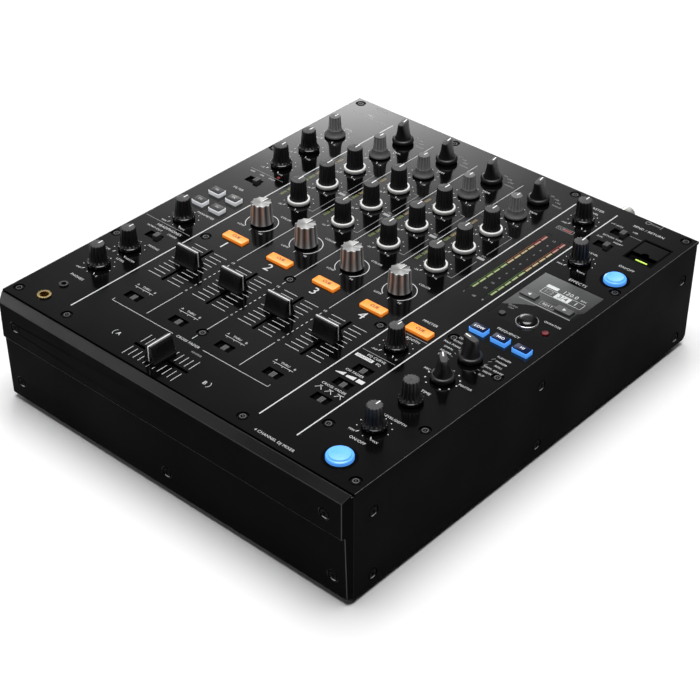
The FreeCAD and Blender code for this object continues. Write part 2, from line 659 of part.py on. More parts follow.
def wall_socket(name, flange, body, recess, pins, x, height):
    """Flange outside the wall with a body inside it; flange and body are (width, tall, length)."""
    flange_width, flange_tall = flange
    body_width, body_tall, depth = body
    outer = wall_box(flange_width, flange_tall, S.socket_plate, x, height, REAR)
    inner = wall_box(body_width, body_tall, depth + S.jack_floor, x, height, REAR - depth - S.jack_floor)
    shell = cut(name + "_shell", fuse(name + "_block", [outer, inner]), [recess])
    return fuse(name, [shell] + pins) if pins else shell


def around(width, tall):
    """Outside of a socket's body that goes round a recess."""
    return width + 2 * S.socket_wall, tall + 2 * S.socket_wall


INLET_BODY = around(S.inlet_recess_width, S.inlet_recess_tall)
LINK_BODY = around(S.link_recess_width, S.link_recess_tall)
DATA_BODY = around(S.data_recess, S.data_recess)
XLR_PLACES = [(S.xlr_x + S.xlr_pitch * step, S.xlr_height) for step in (-0.5, 0.5)]
BOOTH_PLACES = [(S.booth_x + S.booth_pitch * step, S.booth_height) for step in (-0.5, 0.5)]
PHONO_BLOCKS = [channel_x(index) for index in CHANNELS]
XLR_SIDES = 24

# Where the three pins stand from the middle of their socket, in radii of their ring.
XLR_PINS = [(-0.8, 0.6), (0.8, 0.6), (0.0, -1.0)]


def xlr(x, height):
    floor = REAR - S.xlr_depth
    recess = prism(S.xlr_recess, XLR_SIDES, S.xlr_depth + 2 * S.socket_plate, x, floor,
                   above_bottom(height), TO_REAR)
    ring = S.xlr_pin_ring
    pins = [wall_rod(S.xlr_pin, S.xlr_pin_length, x + ring * across, height + ring * up, floor)
            for across, up in XLR_PINS]
    return wall_socket("xlr", (S.xlr_width, S.xlr_tall), (S.xlr_body, S.xlr_body, S.xlr_depth),
                       recess, pins, x, height)


def inlet():
    x = S.inlet_x
    height = S.inlet_height
    floor = REAR - S.inlet_depth
    recess = wall_box(S.inlet_recess_width, S.inlet_recess_tall, S.inlet_depth + 2 * S.socket_plate,
                      x, height, floor)
    shift = S.inlet_pin_shift
    spots = [(x - S.inlet_pin_pitch, height - shift), (x + S.inlet_pin_pitch, height - shift),
             (x, height + shift)]
    pins = [wall_box(S.inlet_pin_width, S.inlet_pin_tall, S.inlet_pin_length, pin_x, pin_height, floor)
            for pin_x, pin_height in spots]
    return wall_socket("inlet", (S.inlet_width, S.inlet_tall), (*INLET_BODY, S.inlet_depth), recess,
                       pins, x, height)


def link_port():
    recess = wall_box(S.link_recess_width, S.link_recess_tall, S.link_depth + 2 * S.socket_plate,
                      S.link_x, S.link_height, REAR - S.link_depth)
    return wall_socket("link", (S.link_width, S.link_tall), (*LINK_BODY, S.link_depth), recess, [],
                       S.link_x, S.link_height)


def data_port():
    recess = wall_box(S.data_recess, S.data_recess, S.data_depth + 2 * S.socket_plate,
                      S.data_x, S.link_height, REAR - S.data_depth)
    tongue = wall_box(S.data_tongue_width, S.data_tongue_tall, S.data_tongue_length, S.data_x,
                      S.link_height, REAR - S.data_depth)
    return wall_socket("data", (S.data_width, S.data_tall), (*DATA_BODY, S.data_depth), recess,
                       [tongue], S.data_x, S.link_height)


def booth_jack(x, height):
    depth = S.jack_depth
    nut = wall_rod(S.nut_radius, S.nut_height, x, height, REAR)
    inner = wall_box(S.jack_body, S.jack_body, depth, x, height, REAR - depth)
    bore = wall_rod(S.jack_bore, depth + S.nut_height, x, height, REAR - depth + S.jack_floor)
    return cut("booth_jack", fuse("booth_block", [nut, inner]), [bore])


def phono_block(x):
    """Plate with two rows of phono sockets."""
    middle = (S.phono_upper + S.phono_lower) / 2
    pieces = [wall_box(S.phono_plate_width, S.phono_plate_height, S.socket_plate, x, middle, REAR)]
    for height in (S.phono_upper, S.phono_lower):
        for side in (-1, 1):
            pieces.append(wall_rod(S.phono_radius, S.phono_reach, x + S.phono_offset * side, height,
                                   REAR + S.socket_plate))
    return pieces


def record_block():
    width = S.phono_plate_width
    pieces = [wall_box(width, width / 2, S.socket_plate, S.record_x, S.record_height, REAR)]
    for side in (-1, 1):
        pieces.append(wall_rod(S.phono_radius, S.phono_reach, S.record_x + S.phono_offset * side,
                               S.record_height, REAR + S.socket_plate))
    return pieces


def ground_post():
    stem = wall_rod(S.post_stem, S.rear_reach - S.post_head, S.post_x, S.post_height, REAR)
    head = wall_rod(S.post_radius, S.post_head, S.post_x, S.post_height,
                    REAR + S.rear_reach - S.post_head)
    return fuse("ground_post", [stem, head])


# Power rocker in its frame.  It tips about a pin across the frame.

ROCKER_OPENING = (S.rocker_width + S.rocker_gap, S.rocker_tall + 2 * S.rocker_gap)
ROCKER_BODY = around(*ROCKER_OPENING)
ROCKER_AXIS_Y = REAR - S.rocker_pivot

# Degrees that the rocker is tipped by, with its lower end in.
ROCKER_REST = -8.0


def rocker_frame():
    width, tall = ROCKER_OPENING
    x = S.inlet_x
    height = S.rocker_height
    recess = wall_box(width, tall, S.rocker_depth + 2 * S.socket_plate, x, height, REAR - S.rocker_depth)
    shell = wall_socket("rocker_frame", (S.rocker_frame_width, S.rocker_frame_tall),
                        (*ROCKER_BODY, S.rocker_depth), recess, [], x, height)
    reach = S.rocker_width + 2 * S.socket_wall
    hole = rod(S.rocker_pin + S.running_gap, reach, x - reach / 2, ROCKER_AXIS_Y, above_bottom(height),
               TO_RIGHT)
    return cut("rocker_seat", shell, [hole])


def rocker():
    """Rocker with a hollowed face, made about its own pin."""
    half = S.rocker_tall / 2
    face = S.rocker_pivot
    rim = face + S.rocker_rise
    shoulder = face - S.rocker_skirt
    body = padded("rocker_body", "YZ_Plane", [
        (rim, half), (face + S.rocker_hollow, 0), (rim, -half), (shoulder, -half),
        (-S.rocker_back, -S.rocker_back_half), (-S.rocker_back, S.rocker_back_half),
        (shoulder, half)], S.rocker_width)
    reach = S.rocker_width + 2 * S.rocker_pin_end
    pin = rod(S.rocker_pin, reach, -reach / 2, 0, 0, TO_RIGHT)
    piece = fuse("power_rocker", [body, pin])
    return place(piece, S.inlet_x, ROCKER_AXIS_Y, above_bottom(S.rocker_height),
                 Rotation(Vector(1, 0, 0), ROCKER_REST))


subpart("power_rocker", rocker())

sockets = [panel_jack(*jack) for jack in PANEL_JACKS] + port_bay() + [upright_port()]
sockets += [xlr(*spot) for spot in XLR_PLACES] + [booth_jack(*spot) for spot in BOOTH_PLACES]
sockets += [piece for x in PHONO_BLOCKS for piece in phono_block(x)] + record_block()
sockets += [inlet(), link_port(), data_port(), rocker_frame(), ground_post()]
subpart("sockets", group("sockets", sockets))


# Screws: (x, row) in the panel, (row, height) in each side, and (x, height) in the front moulding

PANEL_SCREWS = [
    (-153.2, 360.2), (-57.0, 360.2), (57.0, 360.6), (153.0, 360.6), (152.4, 274.2), (104.0, 160.8),
    (152.0, 145.5), (152.0, 73.8), (103.5, 39.5), (152.0, 10.0), (59.2, 9.6), (-104.5, 9.2),
    (-153.2, 9.0), (-104.5, 138.8), (-22.5, 138.8), (59.2, 139.0), (-22.5, 55.0), (-155.4, 262.5),
    (-155.4, 100.0)]
SIDE_SCREWS = [(18.0, 59.5), (18.0, 8.8), (185.0, 58.8), (185.0, 9.4), (352.0, 58.0), (352.0, 8.4)]
FRONT_SCREWS = [(-142.0, 64.0), (142.0, 64.0), (-146.0, 14.2), (0.0, 14.2), (146.0, 14.2)]


def front_face(height):
    """How far the moulding stands out at a height below its upper band, or on the band."""
    if height > S.band_bottom.worth:
        return S.band_front
    lean = (S.lower_front - S.base_front) * (height / S.band_bottom.worth)
    return S.base_front + lean


def screw_master():
    """Hexagon-socket screw that hangs down from a surface at Z = 0."""
    head = rod(S.head_radius, S.head_height, 0, 0, S.head_top - S.head_height)
    shank = rod(S.shank_radius, S.shank_length, 0, 0, S.head_top - S.head_height - S.shank_length)
    hexagon = prism(S.hex_radius, 6, S.hex_depth + BEYOND, 0, 0, S.head_top - S.hex_depth)
    return cut("screw", fuse("screw_blank", [head, shank]), [hexagon])


SCREW = screw_master()
SCREW_PLACES = [(x, at_row(row), PANEL, UPRIGHT) for x, row in PANEL_SCREWS]
SCREW_PLACES += [(side * SIDE, at_row(row), above_bottom(height), turn)
                 for side, turn in ((1, TO_RIGHT), (-1, TO_LEFT)) for row, height in SIDE_SCREWS]
SCREW_PLACES += [(x, S.front_edge - front_face(height), above_bottom(height), TO_FRONT)
                 for x, height in FRONT_SCREWS]
subpart("screws", group("screws", [
    place(group("screw_spot", [SCREW]), x, y, z, turn) for x, y, z, turn in SCREW_PLACES]))


# Top panel

def slot(length, width, x, row):
    return box(length, width, S.plate_thickness + 2 * BEYOND, x, at_row(row), UNDER_PANEL - BEYOND)


def hole(radius, x, row):
    return rod(radius, S.plate_thickness + 2 * BEYOND, x, at_row(row), UNDER_PANEL - BEYOND)


def sunk(radius, depth, x, row):
    return rod(radius, depth + BEYOND, x, at_row(row), PANEL - depth)


def panel_openings():
    button_gap = 2 * S.button_gap
    window_gap = 2 * S.window_gap
    openings = [hole(S.bushing_hole, x, row) for _, _, x, row, _ in KNOBS]
    openings += [slot(S.fader_slot_width, S.fader_slot, channel_x(index), S.row_fader)
                 for index in CHANNELS]
    openings.append(slot(S.fader_slot, S.fader_slot_width, S.cross_x, S.row_cross))
    openings += [slot(S.slot_length, S.slot_width, x, row)
                 for x, row in ASSIGN_SWITCHES + CURVE_SWITCHES + LEVER_SWITCHES]
    openings += [slot(S.cue_length + button_gap, S.cue_width + button_gap, x, row)
                 for x, row in CUE_BUTTONS]
    openings += [slot(S.square_length + button_gap, S.square_width + button_gap, x, row)
                 for x, row in SQUARE_BUTTONS]
    openings += [slot(S.frequency_length + button_gap, S.frequency_width + button_gap, x, row)
                 for x, row in FREQUENCY_BUTTONS]
    for x, row, radius in ROUND_SWITCHES:
        openings.append(hole(radius + S.button_gap, x, row))
        openings.append(sunk(radius + S.round_recess, S.round_recess_depth, x, row))
    openings.append(slot(S.display_width + window_gap, S.display_depth + window_gap, S.display_x,
                         S.row_display))
    openings.append(hole(S.tap_radius + S.button_gap, *TAP_BUTTON))
    openings += [slot(S.meter_width + window_gap, length + window_gap, x, row)
                 for x, row, length in METERS]
    openings += [hole(S.lamp_radius + S.window_gap, x, row) for x, row in LAMPS]
    openings.append(slot(S.bay_width + 2 * S.bay_wall + window_gap,
                         BAY_LENGTH + 2 * S.bay_wall + window_gap, S.bay_x, BAY_MIDDLE))
    openings += [hole(ring + S.window_gap, S.phones_x, row) for row, ring, _, _ in PANEL_JACKS]
    for x, row in PANEL_SCREWS:
        openings.append(sunk(S.recess_radius, S.recess_depth, x, row))
        openings.append(hole(S.shank_radius + S.window_gap, x, row))
    return openings


def panel_strips():
    """The sheet as four strips that meet round the port bay: in front, at both sides and behind."""
    edge = S.plate_width / 2
    rear = at_row(S.plate_depth)
    across = S.bay_width / 2 + S.bay_wall + S.window_gap
    along = BAY_LENGTH / 2 + S.bay_wall + S.window_gap
    bay_front = at_row(BAY_MIDDLE) - along
    bay_rear = at_row(BAY_MIDDLE) + along
    bay_left = S.bay_x - across
    bay_right = S.bay_x + across
    strips = [(-edge, edge, S.front_edge, bay_front), (-edge, bay_left, bay_front, rear),
              (bay_right, edge, bay_front, rear), (bay_left, bay_right, bay_rear, rear)]
    return [box(right - left, back - front, S.plate_thickness, (left + right) / 2, (front + back) / 2,
                UNDER_PANEL) for left, right, front, back in strips]


OPENINGS = panel_openings()
subpart("top_panel", group("top_panel", [
    cut("panel_strip", strip, OPENINGS) for strip in panel_strips()]))


# Case: bottom, sides and rear wall in one

def rounded_case():
    """Solid block of the case's outside, with its lower rear edge rounded."""
    front = S.front_edge
    body = padded("case_block", "YZ_Plane", [
        (front, BOTTOM), (REAR, BOTTOM), (REAR, UNDER_PANEL), (front, UNDER_PANEL)], 2 * SIDE)
    pad = body.Tip
    wanted = []
    for index, edge in enumerate(pad.Shape.Edges, start=1):
        middle = edge.CenterOfMass
        if abs(middle.y - REAR.worth) < 1e-3 and abs(middle.z - BOTTOM.worth) < 1e-3:
            wanted.append("Edge%d" % index)
    rounding = body.newObject("PartDesign::Fillet", "case_rounding")
    rounding.Base = (pad, wanted)
    rounding.setExpression("Radius", S.case_corner.text)
    body.Tip = rounding
    doc.recompute()
    return body


def rear_openings():
    """Where the bodies of the sockets go through the wall: (width, tall, x, height)."""
    gap = 2 * S.window_gap
    bodies = [(S.xlr_body, S.xlr_body, *spot) for spot in XLR_PLACES]
    bodies += [(S.jack_body, S.jack_body, *spot) for spot in BOOTH_PLACES]
    bodies += [(*INLET_BODY, S.inlet_x, S.inlet_height), (*ROCKER_BODY, S.inlet_x, S.rocker_height),
               (*LINK_BODY, S.link_x, S.link_height), (*DATA_BODY, S.data_x, S.link_height)]
    return [wall_box(width + gap, tall + gap, S.wall + 2 * BEYOND, x, height, REAR - S.wall - BEYOND)
            for width, tall, x, height in bodies]


def side_recesses():
    recesses = []
    for side, turn in ((1, TO_LEFT), (-1, TO_RIGHT)):
        for row, height in SIDE_SCREWS:
            y = at_row(row)
            z = above_bottom(height)
            recesses.append(rod(S.side_recess_radius, S.side_recess_depth + BEYOND,
                                side * (SIDE + BEYOND), y, z, turn))
            recesses.append(rod(S.shank_radius + S.window_gap, S.wall + 2 * BEYOND,
                                side * (SIDE + BEYOND), y, z, turn))
    return recesses


inside_length = REAR - S.wall - S.front_edge + BEYOND
hollow = box(2 * SIDE - 2 * S.wall, inside_length, S.case_height, 0,
             REAR - S.wall - inside_length / 2, BOTTOM + S.wall)
subpart("chassis", cut("chassis", rounded_case(), [hollow] + rear_openings() + side_recesses()))


# Front moulding: a beveled upper band over a lower face that leans back, with tapered ends

def front_moulding():
    front = S.front_edge
    top = PANEL
    body = padded("moulding", "YZ_Plane", [
        (front, BOTTOM), (front, UNDER_PANEL), (front - S.lip_gap, UNDER_PANEL), (front - S.lip_gap, top),
        (front - S.bevel_front, top), (front - S.band_front, BOTTOM + S.bevel_bottom),
        (front - S.band_front, BOTTOM + S.band_bottom), (front - S.lower_front, BOTTOM + S.band_bottom),
        (front - S.base_front, BOTTOM)], 2 * SIDE)
    tip = front - S.band_front - BEYOND
    tapered = SIDE - S.end_taper * ((S.band_front.worth + BEYOND) / S.band_front.worth)
    wedge = [(SIDE, front), (SIDE + BEYOND, front), (SIDE + BEYOND, tip), (tapered, tip)]
    pocketed(body, "end_tapers", "XY_Plane", [wedge, mirrored(wedge)], 4 * PANEL)
    return body


def moulding_cuts():
    """Hollow behind the band, and the screws' recesses."""
    depth = S.band_front - S.moulding_wall
    band_tall = S.bevel_bottom - S.band_bottom - 2 * S.moulding_wall
    cuts = [box(2 * SIDE - 8 * S.moulding_wall, depth, band_tall, 0, S.front_edge - depth / 2,
                above_bottom(S.band_bottom + S.moulding_wall))]
    for x, height in FRONT_SCREWS:
        y = S.front_edge - front_face(height) - BEYOND
        z = above_bottom(height)
        cuts.append(rod(S.recess_radius, S.recess_depth + BEYOND, x, y, z, TO_REAR))
        cuts.append(rod(S.shank_radius + S.window_gap, S.band_front + 2 * BEYOND, x, y, z, TO_REAR))
    return cuts


subpart("front_panel", cut("front_panel", front_moulding(), moulding_cuts()))


# Feet

foot = turned("foot_turned", [
    (0, 0), (S.foot_radius - 0.8, 0), (S.foot_radius, 0.8), (S.foot_radius, S.foot_height),
    (0, S.foot_height)])
subpart("feet", group("feet", [
    place(group("foot", [foot]), S.foot_x * side, at_row(row), 0)
    for side in (-1, 1) for row in (S.foot_front_row, S.foot_rear_row)]))


# Units below the panel: one for each shaft and fader, and a stop under each button

UNIT_FOOT = PANEL - S.unit_bottom


def rotary_unit(x, row):
    y = at_row(row)
    block = box(S.unit_size, S.unit_size, S.unit_bottom - S.unit_top, x, y, UNIT_FOOT)
    bushing = rod(S.bushing_radius, S.unit_top, x, y, PANEL - S.unit_top)
    bore_bottom = S.shaft_bottom + S.shaft_clear
    bore = rod(S.shaft_radius + S.running_gap, bore_bottom + BEYOND, x, y, PANEL - bore_bottom)
    return cut("rotary_unit", fuse("rotary_block", [block, bushing]), [bore])


def fader_unit(x, row, turn):
    """Long block with a channel for the lever, made at the origin and turned to its fader."""
    block = box(S.fader_unit_width, S.fader_unit_length, S.unit_bottom - S.unit_top, 0, 0,
                -S.unit_bottom)
    channel = box(S.fader_slot_width, S.fader_slot, S.unit_bottom, 0, 0, -S.lever_depth - S.lever_clear)
    unit = cut("fader_unit", block, [channel])
    return place(unit, x, at_row(row), PANEL, turn)


def button_stop(x, row):
    return box(S.stop_size, S.stop_size, S.unit_bottom - S.stop_top, x, at_row(row), UNIT_FOOT)


BUTTONS = CUE_BUTTONS + SQUARE_BUTTONS + FREQUENCY_BUTTONS + ARROW_BUTTONS + MINI_BUTTONS + [TAP_BUTTON]
BUTTONS += [(x, row) for x, row, _ in ROUND_SWITCHES]

units = [rotary_unit(x, row) for _, _, x, row, _ in KNOBS]
units += [fader_unit(channel_x(index), S.row_fader, UPRIGHT) for index in CHANNELS]
units.append(fader_unit(S.cross_x, S.row_cross, QUARTER))
units += [button_stop(x, row) for x, row in BUTTONS]
subpart("control_units", group("control_units", units))


# Circuit boards: one that carries the units, and one on pillars over the bottom

def upper_board():
    margin = S.board_margin
    length = S.plate_depth - 2 * margin
    board = box(S.plate_width - margin, length, S.board_thickness, 0, at_row(S.plate_depth / 2),
                UNIT_FOOT - S.board_thickness)
    around_bay = 2 * (S.bay_wall + S.board_gap)
    hole_depth = 4 * S.board_thickness
    hole_foot = UNIT_FOOT - 2 * S.board_thickness
    bay_hole = box(S.bay_width + around_bay, BAY_LENGTH + around_bay, hole_depth, S.bay_x,
                   at_row(BAY_MIDDLE), hole_foot)
    jack_holes = [rod(ring + S.board_gap, hole_depth, S.phones_x, at_row(row), hole_foot)
                  for row, ring, _, _ in PANEL_JACKS]
    return cut("upper_board", board, [bay_hole] + jack_holes)


def lower_boards():
    """Board on four pillars, and the power supply's block beside it."""
    z = above_bottom(S.lower_board_z)
    floor = BOTTOM + S.wall
    middle = at_row(S.lower_row)
    pillar_x = S.lower_board_length / 2 - S.pillar_inset
    pillar_y = S.lower_board_width / 2 - S.pillar_inset
    pieces = [box(S.lower_board_length, S.lower_board_width, S.board_thickness, S.lower_board_x,
                  middle, z)]
    pieces += [rod(S.pillar_radius, z - floor, S.lower_board_x + pillar_x * across,
                   middle + pillar_y * along, floor) for across in (-1, 1) for along in (-1, 1)]
    pieces.append(box(S.supply_length, S.supply_width, S.supply_height, S.supply_x, middle, floor))
    return pieces


SPACER_ROWS = (50.0, 160.0, 300.0)
spacers = [rod(S.spacer_radius, S.unit_bottom - S.plate_thickness, S.spacer_x * side, at_row(row), UNIT_FOOT)
           for side in (-1, 1) for row in SPACER_ROWS]
subpart("circuit_boards", group("circuit_boards", [upper_board()] + lower_boards() + spacers))


# Check and export

doc.recompute()
for item in doc.Objects:
    if "Invalid" in item.State or "Error" in item.State:
        raise RuntimeError(item.Name + " did not recompute")
os.makedirs("parts", exist_ok=True)
for item in subparts:
    if item.Shape.isNull() or not item.Shape.isValid():
        raise RuntimeError(item.Label + " has no valid shape")
    item.Shape.exportStep("parts/%s.step" % item.Label)
print(len(subparts), "sub-parts")
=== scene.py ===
import math

import bmesh
import bpy
from mathutils import Matrix, Vector


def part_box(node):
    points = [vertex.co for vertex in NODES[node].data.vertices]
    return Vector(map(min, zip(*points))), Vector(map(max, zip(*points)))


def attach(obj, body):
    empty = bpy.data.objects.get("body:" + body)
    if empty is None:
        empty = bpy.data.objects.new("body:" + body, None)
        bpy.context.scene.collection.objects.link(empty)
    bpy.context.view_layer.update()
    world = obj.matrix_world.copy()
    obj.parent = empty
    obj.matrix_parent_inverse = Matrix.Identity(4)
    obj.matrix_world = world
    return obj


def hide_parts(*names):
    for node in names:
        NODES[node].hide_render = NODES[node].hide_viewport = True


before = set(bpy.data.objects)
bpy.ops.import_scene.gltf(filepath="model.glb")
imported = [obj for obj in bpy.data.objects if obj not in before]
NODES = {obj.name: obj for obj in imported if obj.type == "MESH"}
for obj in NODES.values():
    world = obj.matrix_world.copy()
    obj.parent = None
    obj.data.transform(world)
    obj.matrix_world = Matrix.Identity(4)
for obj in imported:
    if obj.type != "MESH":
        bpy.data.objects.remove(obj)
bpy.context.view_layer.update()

MM = 0.001
LOW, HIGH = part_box("top_panel")
FRONT = LOW.y / MM
PANEL = HIGH.z / MM
SCENE = bpy.context.scene
UP = Vector((0, 0, 1))


# ---- materials

COAT_ROUGH = 0.08
BUMP_DEPTH = 0.00004
COLOUR_LIFT = 0.0003
GLOSSIEST, DULLEST = 0.8, 1.35
EDGE_START, EDGE_END = 0.52, 0.6


def add(tree, kind, values=(), **settings):
    """New shader node.  Each value is set on an input, or is another node's output to join to it."""
    node = tree.nodes.new("ShaderNode" + kind)
    for setting, choice in settings.items():
        setattr(node, setting, choice)
    for slot, value in dict(values).items():
        if isinstance(value, bpy.types.NodeSocket):
            tree.links.new(value, node.inputs[slot])
        else:
            node.inputs[slot].default_value = value
    return node


def shader(name, color, rough, metal=0.0, coat=0.0, specular=0.5, glow=None, turning=0.0):
    """New principled material and its shader node.  glow is a colour and its strength."""
    material = bpy.data.materials.new(name)
    material.use_nodes = True
    tree = material.node_tree
    node = tree.nodes["Principled BSDF"]
    values = {"Base Color": (*color, 1), "Roughness": rough, "Metallic": metal, "Coat Weight": coat,
              "Coat Roughness": COAT_ROUGH, "Specular IOR Level": specular}
    if glow:
        values["Emission Color"] = (*glow[0], 1)
        values["Emission Strength"] = glow[1]
    if turning:
        values["Anisotropic"] = turning
        tangent = add(tree, "Tangent", direction_type="RADIAL", axis="Z")
        tree.links.new(tangent.outputs["Tangent"], node.inputs["Tangent"])
    for slot, value in values.items():
        node.inputs[slot].default_value = value
    return material, node


def own_place(tree):
    """The shaded point in the piece's own coordinates, in metres."""
    return add(tree, "TexCoord").outputs["Object"]


def noise(tree, scale, detail, stretch=(1, 1, 1)):
    mapping = add(tree, "Mapping", {"Vector": own_place(tree), "Scale": stretch})
    values = {"Vector": mapping.outputs["Vector"], "Scale": scale, "Detail": detail}
    return add(tree, "TexNoise", values).outputs["Fac"]


def spread(tree, value, low, high, start=0.3, end=0.7):
    """Maps start to end, by default a noise's middle, onto low to high."""
    values = {"Value": value, "From Min": start, "From Max": end, "To Min": low, "To Max": high}
    return add(tree, "MapRange", values).outputs["Result"]


def mixed(tree, factor, first, second, blend="MIX"):
    """Mix of two, each a colour or another node's output."""
    first, second = (part if isinstance(part, bpy.types.NodeSocket) else (*part, 1)
                     for part in (first, second))
    return add(tree, "Mix", {0: factor, 6: first, 7: second}, data_type="RGBA", blend_type=blend).outputs[2]


def along(tree, point, way):
    """How far a point lies along a way."""
    return add(tree, "VectorMath", {0: point, 1: way}, operation="DOT_PRODUCT").outputs["Value"]


def faded(tree, base, light, dark, lighter):
    """Painted light: a lighter colour at one point in millimetres that fades to the base at another."""
    way = Vector(dark) - Vector(light)
    start = Vector(light).dot(way)
    reach = along(tree, own_place(tree), (way.x / MM, way.y / MM, 0))
    return mixed(tree, spread(tree, reach, 1.0, 0.0, start, start + way.length_squared), base, lighter)


def ramp(tree, value, stops):
    """Grey tone for a value, from (place, level) pairs that start at 0 and end at 1."""
    node = add(tree, "ValToRGB", {"Fac": value})
    elements = node.color_ramp.elements
    for place, level in stops:
        stop = elements[0] if place == 0.0 else elements[-1] if place == 1.0 else elements.new(place)
        stop.color = (level, level, level, 1)
    return node.outputs["Color"]


def turned(tree, base, repeats, stops):
    """The base times a painted reflection tone that runs round the upright axis, once for each equal
    sector.
    """
    gradient = add(tree, "TexGradient", {"Vector": own_place(tree)}, gradient_type="RADIAL")
    sectors = add(tree, "Math", {0: gradient.outputs["Fac"], 1: repeats}, operation="MULTIPLY")
    share = add(tree, "Math", {0: sectors.outputs["Value"], 1: 0}, operation="FRACT")
    return mixed(tree, 1.0, base, ramp(tree, share.outputs["Value"], stops), "MULTIPLY")


def surface(name, color, rough, grain=2600, bump=0.05, smudge=200, vary=0.2, wear=0.0, worn=None,
            stretch=(1, 1, 1), painted_shading=None, sectors=None, **kind):
    """Material with fine grain, uneven gloss, slight colour variation and worn edges.

    The painted shading argument is a light point, a dark point and the lighter colour; it paints light and
    shade across the surface between them.
    sectors is a number of equal sectors round the upright axis and the painted reflection tones across
    each.
    """
    material, node = shader(name, color, rough, **kind)
    tree = material.node_tree
    grains = noise(tree, grain, 2.0, stretch)
    smudges = noise(tree, smudge, 4.0)
    second = tuple(min(1.0, part * (1 + vary) + COLOUR_LIFT) for part in color)
    base = mixed(tree, spread(tree, smudges, 0.0, 1.0), color, second)
    if wear:
        edge = spread(tree, add(tree, "NewGeometry").outputs["Pointiness"], 0.0, wear, EDGE_START, EDGE_END)
        base = mixed(tree, edge, base, worn)
    # Painted shading: lighter at one point, fading to the base at another.
    if painted_shading:
        base = faded(tree, base, *painted_shading)
    # Painted reflections: light and dark tones round the upright axis.
    if sectors:
        base = turned(tree, base, *sectors)
    gloss = spread(tree, smudges, rough * GLOSSIEST, min(rough * DULLEST, 1.0))
    bumps = add(tree, "Bump", {"Height": grains, "Strength": bump, "Distance": BUMP_DEPTH})
    for slot, value in (("Base Color", base), ("Roughness", gloss), ("Normal", bumps.outputs["Normal"])):
        tree.links.new(value, node.inputs[slot])
    return material


PAINT = surface("panel_paint", (0.0013, 0.0013, 0.0015), 0.095, grain=1500, bump=0.03, smudge=9, vary=0.3)
CASE = surface("case_paint", (0.0024, 0.0024, 0.0025), 0.5, bump=0.3, smudge=12, vary=0.5, specular=0.012)
MOULDING = surface("front_plastic", (0.0019, 0.0019, 0.0020), 0.40, grain=3200, bump=0.15, smudge=14,
                   vary=0.4, specular=0.05)
# Painted highlight: the front bevel is a lighter, glossier copy of the front plastic, as it faces the
# light.
BEVEL = surface("front_bevel_painted_lighter", (0.0055, 0.0055, 0.0057), 0.30, grain=3200, bump=0.12, smudge=14,
                vary=0.4, specular=0.35)
# Worn edge colour, painted lighter too as an edge highlight.
EDGE_WEAR_AND_HIGHLIGHT = surface("worn_edge_and_painted_highlight", (0.016, 0.016, 0.0165), 0.38, grain=3200, bump=0.12, smudge=60, vary=0.6,
               specular=0.4)
BLACK = surface("knob_black", (0.0055, 0.0055, 0.006), 0.36, grain=4200, bump=0.2, smudge=160, vary=0.6,
                wear=0.35, worn=(0.04, 0.04, 0.041))
FADER = surface("fader_black", (0.0035, 0.0035, 0.0037), 0.26, grain=3600, bump=0.12, smudge=120, vary=0.6,
                specular=0.16, wear=0.3, worn=(0.05, 0.05, 0.051))
GLOSS = surface("rim_gloss", (0.005, 0.005, 0.0055), 0.16, grain=2500, bump=0.03, smudge=120, vary=0.4)
GREY = surface("knob_grey", (0.3, 0.301, 0.303), 0.42, grain=4200, bump=0.2, smudge=160, vary=0.25,
               wear=0.5, worn=(0.25, 0.25, 0.25))
SKIRT = surface("knob_skirt", (0.07, 0.07, 0.071), 0.46, grain=4200, bump=0.2, smudge=160, vary=0.4)
TOP = surface("knob_top", (0.022, 0.022, 0.023), 0.5, grain=3200, bump=0.5, smudge=300, vary=0.5)
PALE_TOP = surface("knob_pale_top", (0.075, 0.075, 0.077), 0.5, grain=3200, bump=0.5, smudge=300, vary=0.4)
WHITE = surface("knob_white", (0.82, 0.82, 0.8), 0.35, grain=3000, bump=0.06, smudge=90, vary=0.03)
INK = surface("panel_ink", (0.52, 0.525, 0.53), 0.45, grain=6000, bump=0.1, smudge=60, vary=0.08)
FAINT = surface("panel_ink_grey", (0.24, 0.243, 0.246), 0.45, grain=6000, bump=0.1, smudge=60, vary=0.1)
# Painted reflections on the metal knob: light and dark tones across each facet and round the crown.
FACETS = 10
FACET_PAINTED_REFLECTIONS = ((0.0, 1.0), (0.1, 0.85), (0.3, 0.2), (0.5, 0.13), (0.7, 0.42), (0.88, 0.8), (1.0, 1.0))
CROWN_PAINTED_REFLECTIONS = ((0.0, 0.42), (0.14, 0.3), (0.28, 0.4), (0.37, 0.6), (0.5, 0.4), (0.61, 0.7), (0.67, 0.3),
               (0.74, 0.08), (0.752, 0.8), (0.8, 0.85), (0.87, 1.0), (0.93, 0.65), (1.0, 0.42))
METAL = surface("knob_metal", (0.8, 0.8, 0.8), 0.42, grain=1800, bump=0.03, smudge=260, vary=0.05,
                stretch=(1, 1, 0.06), metal=0.4, turning=0.6, sectors=(FACETS, FACET_PAINTED_REFLECTIONS))
SATIN = surface("knob_crown", (0.42, 0.42, 0.415), 0.34, grain=2400, bump=0.04, smudge=260, vary=0.08,
                metal=1.0, sectors=(1, CROWN_PAINTED_REFLECTIONS))
SCREW = surface("screw_black", (0.004, 0.004, 0.0042), 0.45, grain=2200, bump=0.1, vary=0.5, specular=0.03)
